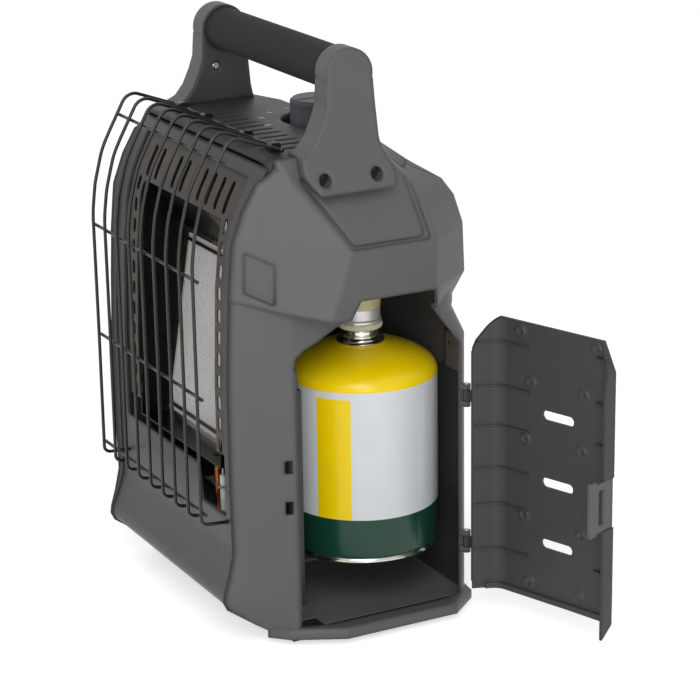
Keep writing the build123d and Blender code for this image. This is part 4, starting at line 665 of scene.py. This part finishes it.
class HEATER_OT_cartridge(bpy.types.Operator):
    """Turn the gas cartridge with its rolled rim and paint its colour blocks"""

    bl_idname = "heater.cartridge"
    bl_label = "Gas cartridge"

    def execute(self, context):
        s = context.scene.heater_cartridge
        foot = Matrix.Translation((CAN_CENTRE.x, CAN_CENTRE.y, 0))
        mesh = spun(self.outline(s), s.steps, foot)
        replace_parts(finished("gas_cartridge", mesh, self.paint(s), "cartridge"), "cartridge")
        return {"FINISHED"}

    @staticmethod
    def outline(s):
        """Outside of the can in millimetres: base, rolled rim, wall, dome, cup with its bead."""
        wall, low, top = CAN_RADIUS / MM, CAN_LOW.z / MM, CAN_HIGH.z / MM
        rim = CAN_RIM + ((wall, 6.4),)
        shoulder = s.wall_top / MM
        knots = [(wall, shoulder), (wall, shoulder + DOME_RISE)]
        knots += [(r, top + z) for r, z in (DOME_PULL, DOME_END)]
        dome = interpolate_bezier(*[Vector(knot) for knot in knots], DOME_STEPS)
        return ([(r, low + z) for r, z in rim] + [(wall, shoulder - 1.0)] + [(p.x, p.y) for p in dome]
                + [(r, top + z) for r, z in CAN_CUP])

    @staticmethod
    def paint(s):
        """Glossy tinplate in colour blocks over a bare rim."""
        finish = Finish("cartridge_paint", s.wall, 0.34, specular=0.3, coat=0.2, coat_roughness=0.12)
        x, y, z = finish.axes(finish.place(location=(-CAN_CENTRE.x, -CAN_CENTRE.y, 0)))
        angle = y.maths("ARCTAN2", x)
        panel = (angle > s.panel_start) * (angle < s.panel_end) * (z < s.wall_top - 5 * MM)
        colour = finish.mix(panel, tuple(s.wall), tuple(s.dome))
        colour = finish.mix(z > s.wall_top, colour, (*s.dome, 1.0))
        colour = finish.mix(z < s.wall_bottom, colour, (*s.foot, 1.0))
        smudge = finish.noise(14 * MM, 3.0)
        colour = finish.mix((smudge - 0.5) * 0.12 + 0.02, colour, (0.05, 0.05, 0.05, 1.0))
        bare = (z < CAN_LOW.z + BARE_RIM * MM) + (z > CAN_HIGH.z - BARE_CUP * MM)
        finish.set("Base Color", finish.mix(bare, colour, linear(190, 187, 178)))
        finish.set("Metallic", bare)
        finish.set("Roughness", (smudge - 0.5) * 0.1 + 0.3 - bare * 0.12)
        finish.relief(finish.noise(3 * MM, 2.0), 0.02 * MM, 0.4)
        return finish.material


class HEATER_OT_stage(bpy.types.Operator):
    """Set the floor, the light and the camera at the photograph's angle"""

    bl_idname = "heater.stage"
    bl_label = "Stage"

    def execute(self, context):
        s = context.scene.heater_stage
        self.floor(s.floor)
        for name, position, size, power in LAMPS:
            self.lamp(name, position, size, getattr(s, power))
        self.world(context, s.sky)
        self.camera(context, s.lens)
        return {"FINISHED"}

    @staticmethod
    def floor(glow):
        """Pale paper that looks white to the camera and keeps the shadow."""
        mesh = bmesh.new()
        bmesh.ops.create_grid(mesh, x_segments=1, y_segments=1, size=FLOOR_SIZE)
        data = bpy.data.meshes.new("floor")
        mesh.to_mesh(data)
        mesh.free()
        floor = bpy.data.objects.new("floor", data)
        bpy.context.scene.collection.objects.link(floor)
        finish = Finish("floor_paper", linear(240, 240, 240), 0.9, specular=0.0)
        rays = [finish.node("ShaderNodeLightPath", output=i) for i in SEEN_RAYS]
        seen = rays[0].maths("MAXIMUM", rays[1]).maths("MAXIMUM", rays[2])
        finish.set("Emission Color", finish.mix(seen, (0.0, 0.0, 0.0), (glow, glow, glow)))
        finish.set("Emission Strength", 1.0)
        data.materials.append(finish.material)

    @staticmethod
    def lamp(name, position, size, power):
        light = bpy.data.lights.new(name, "AREA")
        light.shape, light.size, light.energy = "DISK", size, power
        lamp = bpy.data.objects.new(name, light)
        lamp.location = position
        lamp.rotation_euler = (LAMPS_AIM - Vector(position)).to_track_quat("-Z", "Y").to_euler()
        bpy.context.scene.collection.objects.link(lamp)

    @staticmethod
    def world(context, strength):
        """Even light, and white wherever the camera, gloss or glass sees past the floor."""
        world = bpy.data.worlds.new("even_sky")
        context.scene.world = world
        world.use_nodes = True
        tree = world.node_tree
        background = tree.nodes["Background"]
        background.inputs["Color"].default_value = (1, 1, 1, 1)
        path = tree.nodes.new("ShaderNodeLightPath")
        seen = path.outputs[SEEN_RAYS[0]]
        for kind in SEEN_RAYS[1:]:
            either = tree.nodes.new("ShaderNodeMath")
            either.operation = "MAXIMUM"
            tree.links.new(seen, either.inputs[0])
            tree.links.new(path.outputs[kind], either.inputs[1])
            seen = either.outputs[0]
        level = tree.nodes.new("ShaderNodeMapRange")
        tree.links.new(seen, level.inputs["Value"])
        level.inputs["To Min"].default_value = strength
        level.inputs["To Max"].default_value = 1.0
        tree.links.new(level.outputs["Result"], background.inputs["Strength"])

    @staticmethod
    def camera(context, lens):
        turn, rise, roll = CAMERA_TURN, CAMERA_RISE, CAMERA_ROLL
        back = Vector((sin(turn) * cos(rise), -cos(turn) * cos(rise), sin(rise)))
        right = (-back).cross(Vector((0, 0, 1))).normalized()
        up = right.cross(-back)
        right, up = cos(roll) * right + sin(roll) * up, cos(roll) * up - sin(roll) * right
        data = bpy.data.cameras.new("photo_camera")
        data.lens, data.sensor_width = lens, 36.0
        camera = bpy.data.objects.new("photo_camera", data)
        camera.matrix_world = Matrix((right, up, back)).transposed().to_4x4()
        camera.matrix_world.translation = CAMERA_PLACE
        bpy.context.scene.collection.objects.link(camera)
        context.scene.camera = camera
        context.scene.view_settings.view_transform = "Standard"


class HEATER_PT_panel(bpy.types.Panel):
    """Lists the heater's operators"""

    bl_idname = "HEATER_PT_panel"
    bl_label = "Gas heater"
    bl_space_type = "VIEW_3D"
    bl_region_type = "UI"
    bl_category = "Gas heater"

    def draw(self, context):
        for operator in OPERATORS:
            self.layout.operator(operator.bl_idname)


SETTINGS = {
    "heater_casing": CasingSettings,
    "heater_cartridge": CartridgeSettings,
    "heater_burner": BurnerSettings,
    "heater_guard": GuardSettings,
    "heater_stage": StageSettings,
}
OPERATORS = (
    HEATER_OT_casing, HEATER_OT_guard, HEATER_OT_burner, HEATER_OT_gas_train, HEATER_OT_cartridge,
    HEATER_OT_stage,
)


def register():
    for cls in (*SETTINGS.values(), *OPERATORS, HEATER_PT_panel):
        bpy.utils.register_class(cls)
    for name, cls in SETTINGS.items():
        setattr(bpy.types.Scene, name, PointerProperty(type=cls))


def unregister():
    for name in SETTINGS:
        delattr(bpy.types.Scene, name)
    for cls in (HEATER_PT_panel, *OPERATORS, *SETTINGS.values()):
        bpy.utils.unregister_class(cls)


def main():
    """Builds every piece in order."""
    register()
    bpy.ops.heater.casing()
    bpy.ops.heater.guard()
    bpy.ops.heater.burner()
    bpy.ops.heater.gas_train()
    bpy.ops.heater.cartridge()
    bpy.ops.heater.stage()


if __name__ == "__main__":
    main()
